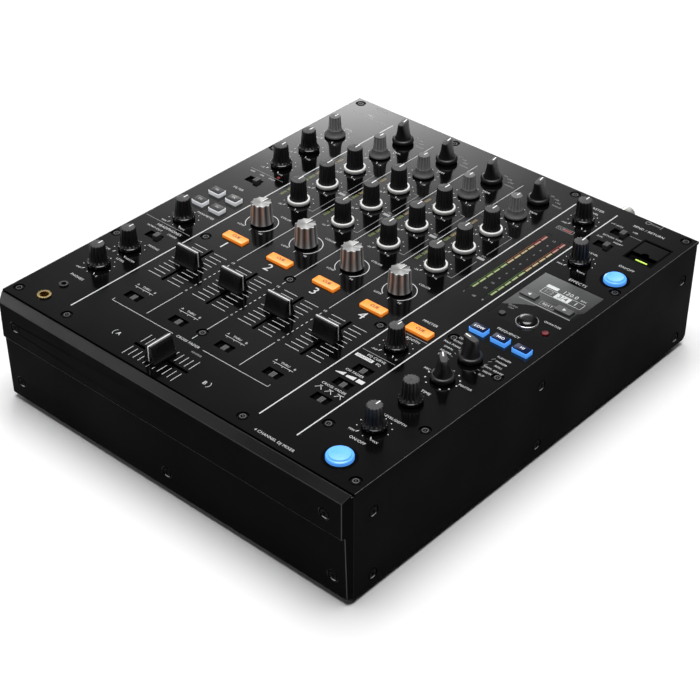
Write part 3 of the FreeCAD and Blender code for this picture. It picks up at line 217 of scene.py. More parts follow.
# Screw steel, also drawn as the painted highlight lines along the panel's edges.
STEEL_AND_EDGE_HIGHLIGHT = surface("screw_rim_and_edge_highlight", (0.10, 0.10, 0.102), 0.32, grain=2200, bump=0.08, vary=0.3, metal=0.6)
GLINT = surface("screw_glint", (0.62, 0.62, 0.62), 0.3, grain=2200, vary=0.1, metal=0.3)
NICKEL = surface("socket_nickel", (0.62, 0.61, 0.59), 0.42, grain=1500, bump=0.06, smudge=150, vary=0.06,
                 metal=1.0)
GOLD = surface("socket_gold", (0.83, 0.62, 0.28), 0.2, grain=1500, bump=0.06, smudge=150, vary=0.06,
               metal=1.0)
RUBBER = surface("foot_rubber", (0.02, 0.02, 0.02), 0.8, grain=2200, bump=0.5, smudge=80, vary=0.5)
DARK = surface("dark_plastic", (0.010, 0.010, 0.011), 0.45, grain=3600, bump=0.25, smudge=100, vary=0.5)
# Painted shade: near-black plastic put in holes, slots, gaps and recesses where shade falls.
HOLE_SHADE = surface("shadowed_plastic", (0.002, 0.002, 0.002), 0.7, grain=3600, bump=0.1, smudge=100, vary=0.5,
               specular=0.01)
HANDLE = surface("switch_plastic", (0.035, 0.035, 0.037), 0.42, grain=3600, bump=0.2, smudge=150,
                 wear=0.3, worn=(0.16, 0.16, 0.16))
LENS = surface("window_smoke", (0.002, 0.0022, 0.0022), 0.09, grain=800, bump=0.01, smudge=40, vary=0.3)
BOARD = surface("board_green", (0.02, 0.12, 0.05), 0.4, grain=900, bump=0.1, smudge=60, vary=0.4)
UNIT = surface("unit_plastic", (0.1, 0.1, 0.11), 0.5, grain=2400, bump=0.2, smudge=60)
AMBER = surface("cue_amber", (0.80, 0.25, 0.03), 0.32, bump=0.08, smudge=120, vary=0.1,
                glow=((1.0, 0.24, 0.02), 0.42))
BLUE = surface("blue_side", (0.07, 0.28, 0.8), 0.3, bump=0.06, smudge=120, vary=0.15,
               glow=((0.09, 0.36, 1.0), 0.55))
# Painted light: the round switch's top is a lighter copy of the blue of its sides.
BLUE_TOP_PAINTED_LIGHTER = surface("blue_face_painted_lighter", (0.10, 0.34, 0.85), 0.3, bump=0.06, smudge=120, vary=0.1,
              glow=((0.09, 0.36, 1.0), 0.5))
MILK = surface("button_milk", (0.8, 0.81, 0.83), 0.35, bump=0.06, smudge=120, vary=0.04,
               glow=((0.9, 0.95, 1.0), 0.12))
RED = surface("red_lamp", (0.10, 0.005, 0.008), 0.25, smudge=120, glow=((0.6, 0.02, 0.04), 0.03))
# Painted shading: the screen is painted lighter at one corner and fades darker across it.
SCREEN = surface("display_screen", (0.012, 0.0125, 0.0125), 0.2, grain=900, bump=0.02, smudge=30,
                 coat=0.3, painted_shading=((112.0, 80.0), (142.0, 46.0), (0.105, 0.108, 0.108)))
DIGIT = surface("display_digit", (0.5, 0.52, 0.52), 0.3, bump=0.02, vary=0.05,
                glow=((0.9, 0.95, 0.95), 0.06))
LED_GREEN = surface("led_green", (0.20, 0.25, 0.09), 0.3, glow=((0.3, 0.4, 0.1), 0.05))
LED_AMBER = surface("led_amber", (0.30, 0.23, 0.11), 0.3, glow=((0.5, 0.34, 0.1), 0.05))
LED_RED = surface("led_red", (0.28, 0.12, 0.09), 0.3, glow=((0.5, 0.1, 0.06), 0.05))
# Painted glow: thin lines beside the meter lamps glow, though they are no lamps.
HALO = {
    LED_GREEN: surface("halo_green", (0.04, 0.10, 0.01), 0.3, vary=0.25, glow=((0.12, 0.4, 0.02), 0.16)),
    LED_AMBER: surface("halo_amber", (0.2, 0.06, 0.01), 0.3, vary=0.25, glow=((0.8, 0.2, 0.01), 0.16)),
    LED_RED: surface("halo_red", (0.2, 0.01, 0.01), 0.3, vary=0.25, glow=((0.8, 0.02, 0.02), 0.25)),
}
CLIP_RED = surface("clip_red", (0.16, 0.01, 0.012), 0.3)
NAVY = surface("navy_lid", (0.003, 0.008, 0.035), 0.3, bump=0.06, smudge=120, vary=0.3, specular=0.08)
CUE_INK = surface("cue_ink", (0.035, 0.009, 0.003), 0.4, grain=3000, smudge=90)
TAP_RING = surface("tap_ring", (0.42, 0.42, 0.43), 0.28, grain=2500, bump=0.06, smudge=120, vary=0.1,
                   metal=0.6)
ARROW = surface("arrow_key", (0.045, 0.046, 0.048), 0.35, grain=3000, bump=0.15, smudge=90, vary=0.3)
LIME = surface("lime_lamp", (0.5, 0.72, 0.12), 0.3, vary=0.1, glow=((0.6, 0.9, 0.1), 0.4))
PHONO_RED = surface("phono_red", (0.42, 0.012, 0.012), 0.35, bump=0.06, smudge=120, vary=0.15)


# ---- shapes, in millimetres

def around(degrees, radius=1.0, x=0.0, y=0.0):
    """Point on a circle."""
    angle = math.radians(degrees)
    return x + radius * math.cos(angle), y + radius * math.sin(angle)


def rounded(x, y, width, depth, corner, z):
    """Loop of a rectangle with round corners."""
    steps = 4
    loop = []
    corner = min(corner, width / 2 - 0.001, depth / 2 - 0.001)
    for quarter, (side, end) in enumerate(((1, 1), (-1, 1), (-1, -1), (1, -1))):
        for step in range(steps + 1):
            spot = around(90 * (quarter + step / steps), corner, x + side * (width / 2 - corner),
                          y + end * (depth / 2 - corner))
            loop.append((*spot, z))
    return loop


class Shape:
    """Mesh under construction: corners, faces, and a material for each face."""

    def __init__(self):
        self.corners = []
        self.faces = []
        self.paints = []
        self.materials = []

    def face(self, corners, material):
        if material not in self.materials:
            self.materials.append(material)
        self.faces.append(corners)
        self.paints.append(self.materials.index(material))

    def loft(self, loops, material, closed=False):
        """Skin over loops of equal length.  The ends are filled, unless closed joins them."""
        count = len(loops[0])
        bands = len(loops) - 1
        coats = material if isinstance(material, list) else [material] * (bands + closed)
        starts = []
        for loop in loops:
            starts.append(len(self.corners))
            self.corners.extend(Vector(point) for point in loop)
        pairs = list(zip(starts, starts[1:]))
        if closed:
            pairs.append((starts[-1], starts[0]))
        for (low, high), coat in zip(pairs, coats):
            for step in range(count):
                after = (step + 1) % count
                self.face((low + step, low + after, high + after, high + step), coat)
        if not closed:
            self.face(tuple(range(starts[0] + count - 1, starts[0] - 1, -1)), coats[0])
            self.face(tuple(range(starts[-1], starts[-1] + count)), coats[-1])

    def lathe(self, profile, material, steps=72, wave=None, middle=(0, 0), closed=False):
        """Turned skin from (radius, z) pairs; wave gives a change of radius for an angle and z."""
        loops = []
        for radius, z in profile:
            loop = []
            for step in range(steps):
                angle = 2 * math.pi * step / steps
                reach = radius + (wave(angle, z) if wave else 0)
                loop.append((middle[0] + reach * math.cos(angle), middle[1] + reach * math.sin(angle), z))
            loops.append(loop)
        self.loft(loops, material, closed)

    def stack(self, x, y, width, depth, levels, material):
        """Skin over rounded rectangles, each smaller by what its level says."""
        self.loft([rounded(x, y, width - less, depth - shallower, corner, z)
                   for less, shallower, corner, z in levels], material)

    def slab(self, x, y, width, depth, z0, z1, material, corner=0.3, edge=0.15):
        """Block with rounded corners and a softened upper edge."""
        levels = ((0, 0, corner, z0), (0, 0, corner, z1 - edge),
                  (2 * edge, 2 * edge, max(corner - edge, 0.02), z1))
        self.stack(x, y, width, depth, levels, material)

    def dot(self, x, y, z, radius, material, height=0.15):
        self.lathe([(radius, z), (radius, z + height * 0.6), (radius * 0.6, z + height)], material, 12,
                   middle=(x, y))

    def moved(self, matrix, other):
        """Adds another shape, moved."""
        start = len(self.corners)
        self.corners.extend(matrix @ corner for corner in other.corners)
        for face, paint in zip(other.faces, other.paints):
            self.face(tuple(start + corner for corner in face), other.materials[paint])

    def mesh(self, name, sharp=35):
        mesh = bpy.data.meshes.new(name)
        mesh.from_pydata([corner * MM for corner in self.corners], [], self.faces)
        for material in self.materials:
            mesh.materials.append(material)
        mesh.polygons.foreach_set("material_index", self.paints)
        mesh.polygons.foreach_set("use_smooth", [True] * len(self.faces))
        outward = bmesh.new()
        outward.from_mesh(mesh)
        bmesh.ops.recalc_face_normals(outward, faces=outward.faces)
        outward.to_mesh(mesh)
        outward.free()
        mesh.set_sharp_from_angle(angle=math.radians(sharp))
        mesh.update()
        return mesh


def piece(name, shape, slot, *replaced, body=None, at=(0, 0, PANEL), turn=0.0):
    """Object from a shape or mesh.  It rides on the body, the node it replaces, or else the case."""
    mesh = shape if isinstance(shape, bpy.types.Mesh) else shape.mesh(name)
    item = bpy.data.objects.new(name, mesh)
    SCENE.collection.objects.link(item)
    item.matrix_world = Matrix.Translation(Vector(at) * MM) @ Matrix.Rotation(turn, 4, "Z")
    body = body or (replaced[0] if replaced else "case")
    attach(item, body)
    if replaced:
        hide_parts(*replaced)


# ---- knobs

def fluted(count, depth, low, high, share):
    """Change of radius for grooves round a knob between two heights."""
    def wave(angle, z):
        if not low <= z <= high:
            return 0.0
        across = (angle * count / (2 * math.pi)) % 1.0
        return -depth * max(0.0, 1 - (2 * (across - 0.5) / share) ** 2)
    return wave


def pointer_line(shape, start, end, z, width=0.85):
    shape.slab(0, (start + end) / 2, width, end - start, z - 0.2, z + 0.09, WHITE, 0.3, 0.05)


def tall_knob():
    shape = Shape()
    flutes = fluted(18, 0.5, 4.0, 19.0, 0.55)
    shape.lathe([(6.9, 0.5), (7.7, 0.4), (8.2, 0.6), (8.4, 1.2), (8.4, 2.5), (8.2, 3.1), (7.7, 3.45),
                 (6.9, 3.3)], WHITE, 96, closed=True)
    shape.lathe([(7.0, 0.9), (7.0, 3.2), (6.7, 3.7), (6.4, 4.3), (6.25, 5.2), (6.0, 12.0), (5.78, 18.3),
                 (5.6, 18.8)], BLACK, 144, flutes)
    shape.lathe([(5.6, 18.7), (5.55, 18.95), (5.3, 19.16), (4.9, 19.2), (0.4, 19.2)], TOP, 144, flutes)
    pointer_line(shape, 0.3, 5.4, 19.2)
    return shape


def slim_knob():
    shape = Shape()
    flutes = fluted(13, 1.0, 5.9, 17.0, 0.6)
    shape.lathe([(7.9, 0.85), (8.25, 1.1), (8.25, 1.9), (7.9, 2.4), (7.2, 3.0), (6.5, 3.9), (6.0, 4.9),
                 (5.5, 6.4)], SKIRT, 96)
    shape.lathe([(5.7, 5.0), (5.35, 6.4), (5.1, 7.6), (4.65, 14.0), (4.5, 16.4), (4.4, 16.9)], GREY, 144,
                flutes)
    shape.lathe([(4.4, 16.8), (4.38, 16.95), (4.1, 17.25), (3.7, 17.3), (0.4, 17.3)], PALE_TOP, 144, flutes)
    pointer_line(shape, 0.2, 4.2, 17.3)
    for degrees in range(15, 360, 30):
        shape.dot(*around(degrees, 7.5), 2.5, 0.26, FAINT)
    return shape


def level_knob(line=True):
    shape = Shape()
    flutes = fluted(14, 0.7, 4.5, 17.6, 0.55)
    shape.lathe([(7.7, 0.85), (8.15, 1.2), (8.2, 2.6), (8.05, 3.2), (7.6, 3.5), (7.2, 3.45), (6.9, 3.2)],
                GLOSS, 96)
    shape.lathe([(7.4, 3.0), (7.2, 3.5), (6.6, 4.0), (6.3, 4.7), (5.9, 10.0), (5.5, 16.5), (5.4, 17.0)],
                BLACK, 144, flutes)
    shape.lathe([(5.4, 16.8), (5.36, 17.05), (5.1, 17.35), (4.8, 17.4), (0.4, 17.4)], TOP, 144, flutes)
    if line:
        pointer_line(shape, 1.2, 5.2, 17.4)
    for step in range(16):
        shape.dot(*around(22.5 * step, 7.75), 3.35, 0.22, FAINT)
    return shape


def metal_knob():
    """Bright knob that flares at the foot, with hollow facets up the side and a turned crown; the light and
    dark tones on facets and crown are painted reflections.
    """
    steps = FACETS * 12
    shape = Shape()
    shape.lathe([(7.7, 0.85), (8.2, 0.95), (8.3, 1.3), (8.2, 1.7), (7.8, 1.8)], BLACK, 96)
    profile = ((8.2, 1.5, 0.0), (8.55, 1.8, 0.15), (8.5, 2.6, 0.5), (8.3, 5.0, 0.85), (8.0, 10.0, 0.95),
               (7.75, 15.6, 0.95), (7.65, 16.9, 0.95), (7.5, 17.2, 0.9), (7.2, 17.38, 0.85),
               (6.4, 17.36, 0.5), (0.4, 17.3, 0.0))
    loops = []
    for radius, z, hollow in profile:
        loop = []
        for step in range(steps):
            across = step * FACETS / steps % 1.0
            reach = radius - hollow * (1 - (2 * across - 1) ** 2)
            loop.append((*around(360 * step / steps, reach), z))
        loops.append(loop)
    shape.loft(loops, [METAL] * 8 + [SATIN] * 2)
    shape.slab(0, 3.7, 0.6, 6.4, 17.1, 17.5, WHITE, 0.25, 0.08)
    return shape


def pointer_knob():
    """Round foot that sweeps up into a tall grip with hollowed cheeks."""
    shape = Shape()
    shape.lathe([(7.5, 0.85), (8.1, 1.1), (8.35, 1.8), (8.35, 2.9), (8.1, 3.6), (7.5, 4.1), (6.7, 4.3)],
                BLACK, 96)
    levels = ((3.9, 7.0, 6.9, 2.0), (4.6, 6.7, 6.3, 2.0), (5.6, 6.5, 5.7, 2.1), (7.2, 6.35, 5.0, 2.2),
              (9.4, 6.2, 4.2, 2.4), (12.0, 6.1, 3.4, 2.8), (15.0, 5.95, 2.8, 3.4), (16.8, 5.85, 2.5, 4.0),
              (17.3, 5.6, 2.3, 4.2), (17.4, 5.3, 2.0, 4.2))
    steps = 96
    loops = []
    for z, reach, half, power in levels:
        loop = []
        for step in range(steps):
            across, along_grip = around(360 * step / steps)
            loop.append((half * math.copysign(abs(across) ** (2 / power), across),
                         reach * math.copysign(abs(along_grip) ** (2 / power), along_grip), z))
        loops.append(loop)
    shape.loft(loops, [BLACK] * 7 + [TOP] * 2)
    pointer_line(shape, 0.6, 5.5, 17.4, 0.95)
    return shape


def cap_place(node):
    """Middle of a node, on the panel."""
    low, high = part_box(node)
    return (*((low + high) / 2 / MM).xy, PANEL)


KNOB_MESHES = {
    "tall": tall_knob().mesh("tall_knob"),
    "slim": slim_knob().mesh("slim_knob"),
    "level": level_knob().mesh("level_knob"),
    "blank": level_knob(line=False).mesh("blank_knob"),
    "metal": metal_knob().mesh("metal_knob", 12),
    "pointer": pointer_knob().mesh("pointer_knob"),
}
# The start of a node's name gives its kind of knob and how far it is turned at rest, in degrees.
KNOB_KINDS = (
    ("input_selector", "pointer", 11.25), ("trim", "slim", 0), ("mic_level", "slim", 0),
    ("eq_", "tall", 0), ("colour_knob", "metal", 0), ("effect_select", "pointer", 78.75),
    ("effect_channel", "pointer", 45), ("effect_time", "blank", 0), ("", "level", 0),
)
for node in sorted(node for node in NODES if "_knob" in node):
    kind, turn = next((kind, turn) for start, kind, turn in KNOB_KINDS if node.startswith(start))
    paint = "knob_aluminium" if kind == "metal" else "knob_plastic"
    piece(node + "_cap", KNOB_MESHES[kind], paint, node, at=cap_place(node), turn=math.radians(turn))


# ---- faders and switches

def fader_cap():
    """Tall cap with hollow faces, a grey ridge, and a white line over the ridge and down the ends."""
    half = 9.75
    foot, top = 0.6, 13.6
    side = [(5.5, foot), (5.5, 2.0), (4.9, 2.9), (4.0, 5.0), (3.15, 8.0), (2.6, 11.0), (2.35, 12.6),
            (1.7, 13.45), (1.3, top)]
    outline = side + [(-across, z) for across, z in reversed(side)]
    loops = []
    for x, shrink in ((-half, 0.35), (-half + 0.3, 0.0), (half - 0.3, 0.0), (half, 0.35)):
        loops.append([(x, across * (1 - shrink / 5.5), foot + (z - foot) * (1 - shrink / 13))
                      for across, z in outline])
    shape = Shape()
    shape.loft(loops, FADER)
    shape.stack(0, 0, 2 * half, 3.5, ((0.5, 0.0, 0.5, 12.75), (0.7, 0.2, 0.5, 13.45),
                                      (1.1, 0.7, 0.4, top + 0.02)), HANDLE)
    shape.slab(0, 0, 2 * half - 0.2, 0.7, 13.2, top + 0.1, WHITE, 0.2, 0.06)
    for end in (-1, 1):
        shape.slab(end * (half - 0.02), 0, 0.3, 0.9, 2.2, 13.5, WHITE, 0.1, 0.05)
    return shape


FADER_MESH = fader_cap().mesh("fader_cap", 30)
for node in sorted(node for node in NODES if "fader" in node):
    piece(node + "_cap", FADER_MESH, "fader_plastic", node, at=cap_place(node),
          turn=math.pi / 2 if node == "crossfader" else 0)


def islands(node):
    """Separate solids of a CAD node: polygon numbers and corners in millimetres for each."""
    mesh = NODES[node].data
    parent = list(range(len(mesh.vertices)))

    def root(index):
        while parent[index] != index:
            parent[index] = parent[parent[index]]
            index = parent[index]
        return index

    places = {}
    for vertex in mesh.vertices:
        key = tuple(round(part * 1e6) for part in vertex.co)
        parent[vertex.index] = places.setdefault(key, vertex.index)
    for edge in mesh.edges:
        first, second = (root(index) for index in edge.vertices)
        parent[first] = second
    found = {}
    for polygon in mesh.polygons:
        found.setdefault(root(polygon.vertices[0]), []).append(polygon.index)
    return [(polygons, [mesh.vertices[corner].co / MM for index in polygons
                        for corner in mesh.polygons[index].vertices]) for polygons in found.values()]


def ends(corners):
    """Low and high corners of the box round some points."""
    return [Vector(pick(corner[axis] for corner in corners) for axis in range(3)) for pick in (min, max)]


def columns(node):
    """Middle, width, depth and height above the panel of the top of each solid, front row first."""
    found = []
    for _, corners in islands(node):
        top = ends(corners)[1].z
        low, high = ends([corner for corner in corners if corner.z > top - 0.01])
        middle = (low + high) / 2
        found.append((middle.x, middle.y, high.x - low.x, high.y - low.y, top - PANEL))
    return sorted(found, key=lambda column: (round(column[1]), column[0]))


# Black shutters below the panel in the shadowed plastic, painted shade in the slots, with ribbed handles.
RIBS = 3
for node, stem in (("slide_switches", DARK), ("lever_switches", HANDLE)):
    shape = Shape()
    for x, y, width, depth, top in columns(node):
        shape.slab(x, y, 21.4, 9.4, -3.1, -2.45, HOLE_SHADE, 0.4, 0.05)
        shape.slab(x, y, width, depth, -2.6, top - 0.5, stem, 0.4, 0.1)
        for rib in range(RIBS):
            shape.slab(x + (rib - 1) * width / RIBS, y, width / RIBS - 0.25, depth, top - 0.7, top,
                       HANDLE, 0.25, 0.2)
    piece(node + "_handles", shape, "switch_plastic", node)


# ---- lettering and print

LETTERS = {}
LETTER_DEPTH = 0.012
CAPITAL = 0.7
INK_DEPTH = 0.04
HAIR, THIN, TICK, INNER, OUTER = 0.3, 0.35, 0.4, 0.45, 0.9


def letters(words, bold):
    """Flat mesh of some words, one unit high, centred."""
    if (words, bold) not in LETTERS:
        curve = bpy.data.curves.new("words", "FONT")
        curve.body = words
        curve.align_x = "CENTER"
        curve.align_y = "CENTER"
        curve.resolution_u = 3
        curve.extrude = LETTER_DEPTH
        curve.offset = bold
        curve.space_character = 1.08
        item = bpy.data.objects.new("words", curve)
        LETTERS[words, bold] = bpy.data.meshes.new_from_object(item)
        bpy.data.objects.remove(item)
    return LETTERS[words, bold]


def write(shape, words, x, y, height, material=INK, z=0.0, bold=0.0):
    """Raised lettering about the point x, y, with capitals of the given height."""
    mesh = letters(words, bold)
    scale = height / CAPITAL
    matrix = Matrix.Translation((x, y, z + LETTER_DEPTH * scale)) @ Matrix.Scale(scale, 4)
    start = len(shape.corners)
    shape.corners.extend(matrix @ vertex.co for vertex in mesh.vertices)
    for polygon in mesh.polygons:
        shape.face(tuple(start + corner for corner in polygon.vertices), material)


def bar(shape, x0, y0, x1, y1, width, material, z=0.0):
    """Straight printed line."""
    start, end = Vector((x0, y0, 0)), Vector((x1, y1, 0))
    side = (end - start).normalized().cross(UP) * width / 2
    shape.loft([[corner + UP * level for corner in (start + side, end + side, end - side, start - side)]
                for level in (z, z + INK_DEPTH)], material)


def arc(shape, x, y, radius, start, end, width, material=INK):
    steps = 48
    loops = []
    for step in range(steps + 1):
        degrees = start + (end - start) * step / steps
        inner, outer = (around(degrees, radius + side * width / 2, x, y) for side in (-1, 1))
        loops.append([(*inner, 0.0), (*outer, 0.0), (*outer, INK_DEPTH), (*inner, INK_DEPTH)])
    shape.loft(loops, material)


# These are placed by x and by row, which is counted from the panel's front edge.

def sheet(shape, points, material=INK, z=0.0):
    """Flat printed area with any outline."""
    shape.loft([[(x, FRONT + row, level) for x, row in points] for level in (z, z + 0.05)], material)


def block(shape, x0, row0, x1, row1, material=INK, z=0.0):
    sheet(shape, [(x0, row0), (x1, row0), (x1, row1), (x0, row1)], material, z)


def line(shape, x0, row0, x1, row1, width=THIN, material=INK, z=0.0):
    bar(shape, x0, FRONT + row0, x1, FRONT + row1, width, material, z)


def frame_line(shape, x0, row0, x1, row1, width, material, z=0.0):
    for side in ((x0, row0, x1, row0), (x1, row0, x1, row1), (x1, row1, x0, row1), (x0, row1, x0, row0)):
        line(shape, *side, width, material, z)


def labels(shape, rows, z=0.0):
    """Words at x and row with a height, and an ink if it isn't the usual one."""
    for words, x, row, height, *ink in rows:
        write(shape, words, x, FRONT + row, height, *(ink or (INK,)), z)


def dial(shape, x, row, name, low, high, name_at=(0.0, 13.6), ends_at=(9.2, -11.0)):
    """Dots round a knob, its end ticks and its words."""
    for step in range(11):
        shape.dot(*around(-60 - 30 * step, 11.0, x, FRONT + row), 0.0, 0.42, INK, 0.06)
    for side, words in ((-1, low), (1, high)):
        line(shape, x + side * 4.8, row - 8.6, x + side * 6.0, row - 10.8, 0.45)
        labels(shape, [(words, x + side * ends_at[0], row + ends_at[1], 1.7)])
    if name:
        labels(shape, [(name, x + name_at[0], row + name_at[1], 2.0)])


# ---- buttons

BUTTON_FOOT = -2.2


def block_button(shape, x, y, width, depth, top, sides, lid):
    levels = ((0, 0, 1.0, BUTTON_FOOT), (0, 0, 1.0, top - 0.7), (0.15, 0.15, 0.9, top - 0.6),
              (0.9, 0.9, 0.8, top - 0.55), (0.95, 0.95, 0.7, top - 0.12), (1.4, 1.4, 0.6, top))
    shape.stack(x, y, width, depth, levels, [sides] * 3 + [lid] * 3)


def tap_button(shape, x, y, radius, top):
    shape.lathe([(radius, BUTTON_FOOT), (radius, 0.6), (radius - 0.15, 1.1), (radius - 0.5, 1.25),
                 (radius - 0.75, 1.1)], TAP_RING, 96, middle=(x, y))
    shape.lathe([(radius - 0.7, 0.9), (radius - 0.8, 1.5), (radius - 1.5, 2.5), (radius - 2.8, top - 0.2),
                 (radius - 4.5, top), (0.3, top - 0.1)], GLOSS, 96, middle=(x, y))


def arrow_button(shape, x, y, width, depth, top, side):
    shape.slab(x, y, width, depth, BUTTON_FOOT, top, ARROW, 0.6, 0.3)
    tip = [(x + side * 1.5, y), (x - side * 1.1, y + 1.5), (x - side * 1.1, y - 1.5)][::side]
    shape.loft([[(*corner, z) for corner in tip] for z in (top - 0.02, top + 0.05)], INK)


cues = Shape()
for x, y, width, depth, top in columns("cue_buttons"):
    cues.stack(x, y, width, depth, ((0, 0, 1.3, BUTTON_FOOT), (0, 0, 1.3, top - 0.5),
                                    (0.3, 0.3, 1.2, top - 0.15), (0.8, 0.8, 1.0, top),
                                    (3.0, 2.4, 0.8, top - 0.12)), AMBER)
    write(cues, "CUE", x, y + 0.7, 2.5, CUE_INK, top - 0.11, bold=0.03)
piece("cue_button_caps", cues, "cue_plastic", "cue_buttons")

squares = Shape()
for x, y, width, depth, top in columns("colour_effect_buttons"):
    block_button(squares, x, y, width, depth, top, MILK, DARK)
    write(squares, "FX", x, y, 1.9, INK, top)
piece("colour_effect_caps", squares, "button_plastic", "colour_effect_buttons")

bands = Shape()
for (x, y, width, depth, top), words in zip(columns("frequency_buttons"), ("LOW", "MID", "HI")):
    block_button(bands, x, y, width, depth, top, BLUE, NAVY)
    write(bands, words, x, y, 2.3, MILK, top, bold=0.01)
piece("frequency_caps", bands, "blue_plastic", "frequency_buttons")

switches = Shape()
right_print_and_painted_light = Shape()
for x, y, width, depth, top in columns("on_off_buttons"):
    radius = width / 2
    # The top faces take the lighter blue copy, painted light.
    switches.lathe([(radius, BUTTON_FOOT), (radius, 1.6), (radius - 0.35, 2.2), (radius - 1.3, 2.5),
                    (radius - 1.6, 2.6), (radius - 1.75, top - 0.3), (radius - 2.1, top),
                    (radius - 2.6, top - 0.05), (0.3, top - 0.45)], [BLUE] * 4 + [BLUE_TOP_PAINTED_LIGHTER] * 4, 96,
                   middle=(x, y))
    # Painted shade: a black ring printed round each button.
    arc(right_print_and_painted_light, x, y, radius + 1.3, 0, 360, 2.4, HOLE_SHADE)
piece("on_off_caps", switches, "blue_plastic", "on_off_buttons")

TAP_WIDTH, ARROW_WIDTH, KEY_MIDDLE = 15, 10, 125.6
beats = Shape()
for x, y, width, depth, top in columns("beat_buttons"):
    side = 1 if x > KEY_MIDDLE else -1
    if width > TAP_WIDTH:
        tap_button(beats, x, y, width / 2, top)
    elif width > ARROW_WIDTH:
        arrow_button(beats, x, y, width, depth, top, side)
    else:
        beats.lathe([(2.4, BUTTON_FOOT), (2.4, top - 0.3), (2.15, top), (0.3, top - 0.05)],
                    RED if side > 0 else DARK, 48, middle=(x, y))
piece("beat_button_caps", beats, "button_plastic", "beat_buttons")


# ---- windows

CHANNELS = (-87.5, -44.25, -1.0, 42.25)
LAMP_PITCH = 7.8


def meter(shape, x, first, count, stripes, lined):
    """Column of lamps, each one or more stripes, perhaps with a thin line beside it that glows as a painted
    halo.
    """
    paints = [LED_GREEN] * 5 + [LED_AMBER] * 4 + [LED_RED] * 2
    for lamp, paint in enumerate(paints[:count]):
        y = FRONT + first + LAMP_PITCH * (lamp + 0.5)
        for shift, width in stripes:
            shape.slab(x + shift, y, width, LAMP_PITCH - 1.3, -0.11, -0.04, paint, 0.2, 0.02)
        if lined:
            shape.slab(x - 1.6, y, 0.3, LAMP_PITCH, -0.11, -0.05, HALO[paint], 0.05, 0.02)


lamps = Shape()
for x in CHANNELS:
    meter(lamps, x - 17.8, 215.4, 9, ((1.25, 0.26), (0.35, 0.4), (-0.7, 0.26)), False)
for x in (75.75, 91.25):
    meter(lamps, x, 215.0, 11, ((0.35, 1.5),), True)
lamps.dot(-122.0, FRONT + 232.0, -0.1, 1.35, CLIP_RED, 0.5)
lamps.slab(82.5, FRONT + 315.8, 7.4, 2.2, 0.0, 0.05, CLIP_RED, 0.6, 0.02)
lamps.slab(142.25, FRONT + 321.0, 9.6, 1.2, -3.0, -2.4, LIME, 0.5, 0.2)
piece("meter_lamps", lamps, "window_plastic")

display = Shape()
COVER = -0.1
sheet(display, [(102.8, 213.0), (106.4, 215.6), (111.0, 219.0), (117.0, 223.0), (123.0, 225.8),
                (148.6, 226.0), (148.6, 236.0), (151.4, 239.4), (151.4, 262.7), (102.8, 262.7)],
      SCREEN, COVER)
GLASS = COVER + 0.05
block(display, 113.0, 249.2, 122.4, 252.6, DIGIT, GLASS)
block(display, 124.2, 241.8, 136.2, 247.5, DIGIT, GLASS)
frame_line(display, 113.4, 241.4, 146.6, 247.9, HAIR, DIGIT, GLASS)
frame_line(display, 121.8, 229.0, 133.4, 233.4, 0.25, FAINT, GLASS)
line(display, 107.0, 226.9, 149.2, 226.9, 0.7, FAINT, GLASS)
labels(display, (
    ("120.0", 132.2, 251.2, 3.6, DIGIT), ("BPM", 143.2, 250.6, 1.6, DIGIT),
    ("1/2", 118.6, 244.6, 3.9, FAINT), ("1", 141.0, 244.6, 4.0, DIGIT),
    ("BEAT", 127.5, 231.1, 2.3), ("AUTO", 110.7, 215.4, 1.7, FAINT),
    ("TAP", 110.7, 212.7, 1.7, FAINT), ("QUANTIZE", 143.6, 215.0, 1.8)), GLASS)
labels(display, [("3/4", 130.2, 244.6, 4.0, DARK)], GLASS + 0.05)
piece("display_graphics", display, "window_plastic")


# ---- panel print

FADER_ROWS = [82.0 + 4.5 * step for step in range(11)]
ink = Shape()
for number, x in enumerate(CHANNELS, start=1):
    for words, degrees in (("USB", 56), ("LINE", 34), ("PHONO", 11), ("CD", 79)):
        across, up = around(degrees)
        labels(ink, [(words, x + 13.5 * across + 1.5, 334.8 + 12.5 * up, 1.5, FAINT)])
    dial(ink, x, 307.5, "TRIM", "-INF", "+9", (7.0, 11.6))
    for row, words, shift in ((279.0, "HI", -6.0), (248.2, "MID", -7.0), (217.2, "LOW", -7.0)):
        dial(ink, x, row, words, "-26", "+6", (shift, 13.0), (8.6, -11.0))
    labels(ink, (("COLOR", x + 9.5, 193.6, 1.9), ("LOW", x - 9.6, 166.9, 1.9), ("HI", x + 9.6, 166.9, 1.9),
                 ("EQ", x + 16.4, 249.6, 1.7, FAINT), (str(number), x + 0.7, 139.0, 8.0),
                 ("A", x - 7.6, 65.4, 1.9), ("THRU", x + 0.5, 65.4, 1.9), ("B", x + 8.6, 65.4, 1.9)))
    line(ink, x, 165.4, x, 167.6, 0.5)
    arc(ink, x, FRONT + 178.5, 12.0, -58, 238, 0.55)
    for end, break_end in ((214.0, 241.5), (282.0, 252.5)):
        line(ink, x + 16.6, end, x + 16.6, break_end, THIN, FAINT)
        line(ink, x + 16.6, end, x + 12.6, end, THIN, FAINT)
    block(ink, x + 13.4, 245.0, x + 19.4, 247.6, FAINT)
    for step, row in enumerate(FADER_ROWS):
        reach = 14.4 if step % 5 else 15.6
        for side in (-1, 1):
            line(ink, x + side * 3.4, row, x + side * reach, row, TICK)
    line(ink, x - 8.4, 63.0, x + 9.4, 63.0)
    for mark in (-6.0, 0.5, 7.0):
        line(ink, x + mark, 63.0, x + mark, 61.6)
